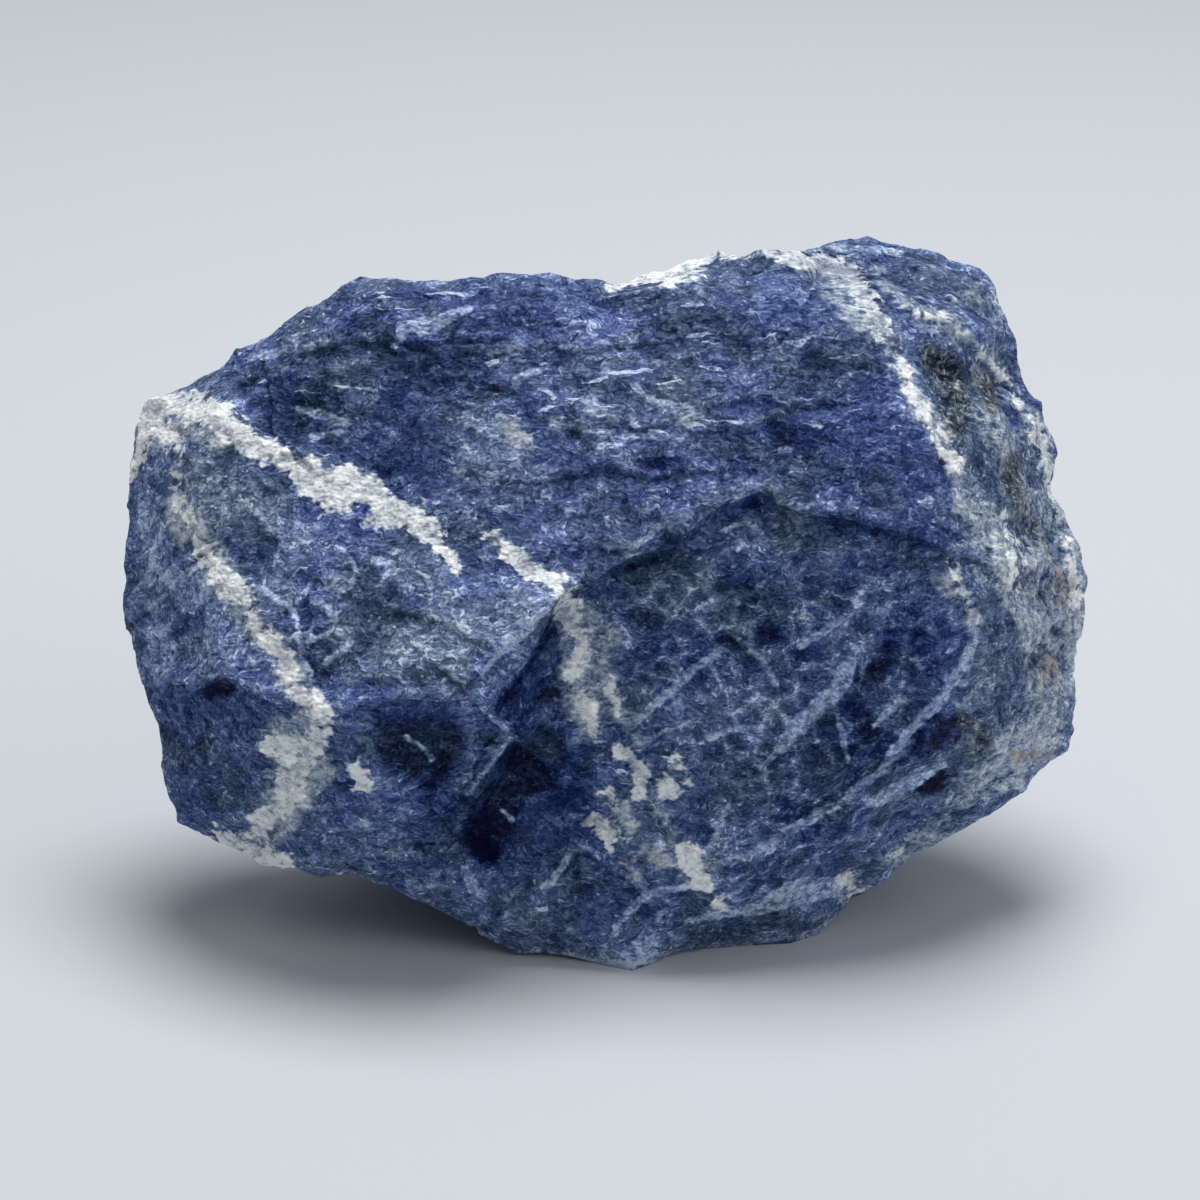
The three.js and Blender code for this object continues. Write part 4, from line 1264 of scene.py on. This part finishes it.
# How far clouds and grit bend the flakes' edges, and sweep the dashes and the net, in mm.
FLAKE_BEND, FLAKE_TEAR = (2.2, 1.6, 2.0), (0.24, 0.19, 0.2)
NET_BEND, NET_TEAR = (0.6, 0.55, 0.6), (0.15, 0.16, 0.15)


class Grain:
    """What the stone's colour and relief are made of. The values called "off" are about 0."""

    def __init__(self, n):
        place = n.node("ShaderNodeTexCoord", {}).outputs["Object"]
        # In mm, and along the drawing's own axes: across, up and toward.
        turn = {"Vector": place, "Rotation": (LEAN - math.pi / 2, 0, 0), "Scale": (1 / MM, 1 / MM, 1 / MM)}
        drawn = n.node("ShaderNodeMapping", turn).outputs[0]
        clouds = n.noise(drawn, *CLOUDS)["Color"]
        grit = n.noise(n.vector("MULTIPLY", drawn, GRIT_STRETCH), *FINE_GRIT)["Color"]
        clouds_off, grit_off = n.vector("SUBTRACT", clouds, HALF), n.vector("SUBTRACT", grit, HALF)
        self.cloud, self.fine = n.part(clouds), n.part(grit)
        self.cloud_off, self.fine_off = n.part(clouds_off), n.part(grit_off)
        self.crackle = n.math("ABSOLUTE", n.part(grit_off, 1))

        bent = n.vector("MULTIPLY_ADD", clouds_off, FLAKE_BEND, drawn)
        torn = n.vector("MULTIPLY_ADD", grit_off, FLAKE_TEAR, bent)
        stretched = n.vector("MULTIPLY", torn, FLAKE_STRETCH)
        self.speck = n.times(n.noise(stretched, *SPECKS)[0], 2.6, -1.3)
        self.flake_off, self.flake_tilt = n.shards(stretched, FLAKE_CELLS)
        self.grain_off, self.grain_tilt = n.shards(stretched, GRAIN_CELLS)
        # Painted highlights on the raised edges of flakes and grains.
        self.flake_edge_highlight = n.ranged(self.flake_tilt, 0.12, 0.30)
        self.grain_edge_highlight = n.ranged(self.grain_tilt, 0.06, 0.085)

        swept = n.vector("MULTIPLY_ADD", clouds_off, NET_BEND, drawn)
        self.swept = n.vector("MULTIPLY_ADD", grit_off, NET_TEAR, swept)


def mottle_and_flake_shading_of(n, g):
    """How much lighter or darker each flake and grain is than the ground around it: its own tone, painted
    shade across it as it tilts, and painted highlights on its raised edges.
    """
    soft = n.total((g.cloud_off, 0.10), (g.fine_off, 0.26), (g.flake_off, 0.11), (g.grain_off, 0.23))
    return n.total((g.flake_tilt, 0.14), (g.flake_edge_highlight, 0.07), (g.grain_edge_highlight, 0.18), plus=soft)


def glinting_dashes(n, g):
    """Short pale splinters, painted as glints along their raised edges, that lie across the broad face, most
    of them where it is splintered.
    """
    tone, tilt = n.shards(n.vector("MULTIPLY", g.swept, DASH_STRETCH), DASH_CELLS)
    glinting_dash = n.times(n.ranged(tilt, 0.13, 0.17), n.ranged(tone, -0.08, -0.03))
    return n.times(glinting_dash, n.times(n.attribute("splinter"), 0.85, 0.15))


def net_tone(n, g, celled):
    """Pale healed cracks between dark cells, and finer ones across them."""
    net = n.cells(n.vector("MULTIPLY", g.swept, NET_STRETCH), NET_CELLS, "DISTANCE_TO_EDGE")["Distance"]
    line = n.times(n.ranged(net, 0.11, 0.02), n.ranged(g.cloud, 0.35, 0.6, 0.25, 1.0))
    crackle = n.times(n.ranged(g.crackle, 0.05, 0.01), n.ranged(g.fine, 0.38, 0.6))
    tone = n.total((n.ranged(net, 0.08, 0.32), -0.15), (line, 0.21), (crackle, 0.22))
    return n.times(tone, n.times(celled, 0.8, 0.2))


def blue_ground(n, g, fray):
    """The colour of the blue ground with its seams."""
    celled = n.attribute("celled")
    mottle_and_flake_shading = mottle_and_flake_shading_of(n, g)
    # The tone takes painted light and shade from the shade, crest and hollow fields, and from the flakes'
    # tilt.
    tone = n.total(
        (n.attribute("shade"), 0.26),
        (n.attribute("crest"), 1.0),
        (n.attribute("hollow"), 0.12),
        (mottle_and_flake_shading, n.times(celled, -0.25, 1.0)),
        (g.speck, 0.21),
        (glinting_dashes(n, g), 0.48),
        (net_tone(n, g, celled), 1.0),
        (n.frayed("cream", fray, -0.7, 0.2), 0.08),
        plus=0.515,
    )
    seam = n.frayed("seam", n.times(fray, 0.22), -0.14, 0.08)
    seam = n.times(seam, n.ranged(g.fine, 0.3, 0.6, 0.55, 1.0))
    paler = n.total((tone, -1.0), (mottle_and_flake_shading, 0.5), (g.speck, 0.15), (celled, -0.06), plus=0.88)
    tone = n.times(seam, paler, tone)
    royal = n.total((n.attribute("royal"), 1.0), (g.flake_off, 0.8), (g.cloud_off, 1.6))
    return n.mix(n.ranged(royal, -0.9, 0.9), n.ramp(tone, SLATE), n.ramp(tone, ROYAL_BLUE))


def markings(n, g, fray, cream):
    """What lies over the blue ground, from the lowest up, as (share, colour)."""
    # The veins' tone, with painted light and shade from the shade, crest and hollow fields and painted
    # highlights on the grains' edges.
    vein_tone_and_shading = n.total(
        (n.attribute("shade"), 0.22),
        (n.attribute("crest"), 2.0),
        (n.attribute("hollow"), 0.15),
        (g.cloud_off, 0.5),
        (g.fine_off, 0.7),
        (g.grain_off, 0.22),
        (g.grain_edge_highlight, 0.12),
        (g.speck, 0.2),
        (n.ranged(g.crackle, 0.045, 0.0), -0.2),
        plus=0.53,
    )
    bits = n.total((g.grain_off, 0.4), (g.speck, 0.3), (g.fine_off, 1.5), (g.cloud_off, 0.8), plus=0.45)
    return (
        (n.times(n.frayed("dull", fray, -0.35, 0.75), 0.9), n.ramp(vein_tone_and_shading, DULL_GREY)),
        (n.times(n.frayed("rind", fray, -0.5, 0.8), 0.9), n.ramp(vein_tone_and_shading, RIND_GREY)),
        (cream, n.ramp(vein_tone_and_shading, CREAM_WHITE)),
        (n.times(n.frayed("stain", fray, -0.45, 0.5), 0.9), n.ramp(bits, STAIN_BLACK)),
        (n.times(n.frayed("rust", n.times(g.grain_off, 0.9, fray), -0.2, 0.3), 0.55), RUST_BROWN),
    )


def stone_material():
    material, shader = new_material("sodalite")
    n = Nodes(material.node_tree)
    g = Grain(n)
    fray = n.total((g.cloud_off, 1.2), (g.fine_off, 0.7), (g.flake_off, 0.25), (g.grain_off, 0.12))
    ragged = n.total((g.cloud_off, 1.7), (g.fine_off, 0.9), (g.flake_off, 0.4), (g.grain_off, 0.12))
    cream = n.frayed("cream", ragged, -0.18, 0.2)
    colour = blue_ground(n, g, fray)
    for share, over in markings(n, g, fray, cream):
        colour = n.mix(share, colour, over)

    # The bump's height is in mm: tilted grains and fine grit.
    height = n.total((g.grain_tilt, 0.40), (g.fine, 0.22))
    bump = n.node("ShaderNodeBump", {"Strength": 1.0, "Distance": MM, "Height": height})
    n.put(shader.inputs["Base Color"], colour)
    n.put(shader.inputs["Roughness"], n.total((g.grain_off, -0.25), (cream, 0.1), plus=0.6))
    n.put(shader.inputs["Normal"], bump.outputs[0])
    shader.inputs["IOR"].default_value = STONE_IOR
    shader.inputs["Specular IOR Level"].default_value = STONE_SPECULAR
    return material


make_camera()
make_light()
make_floor()
make_stone()
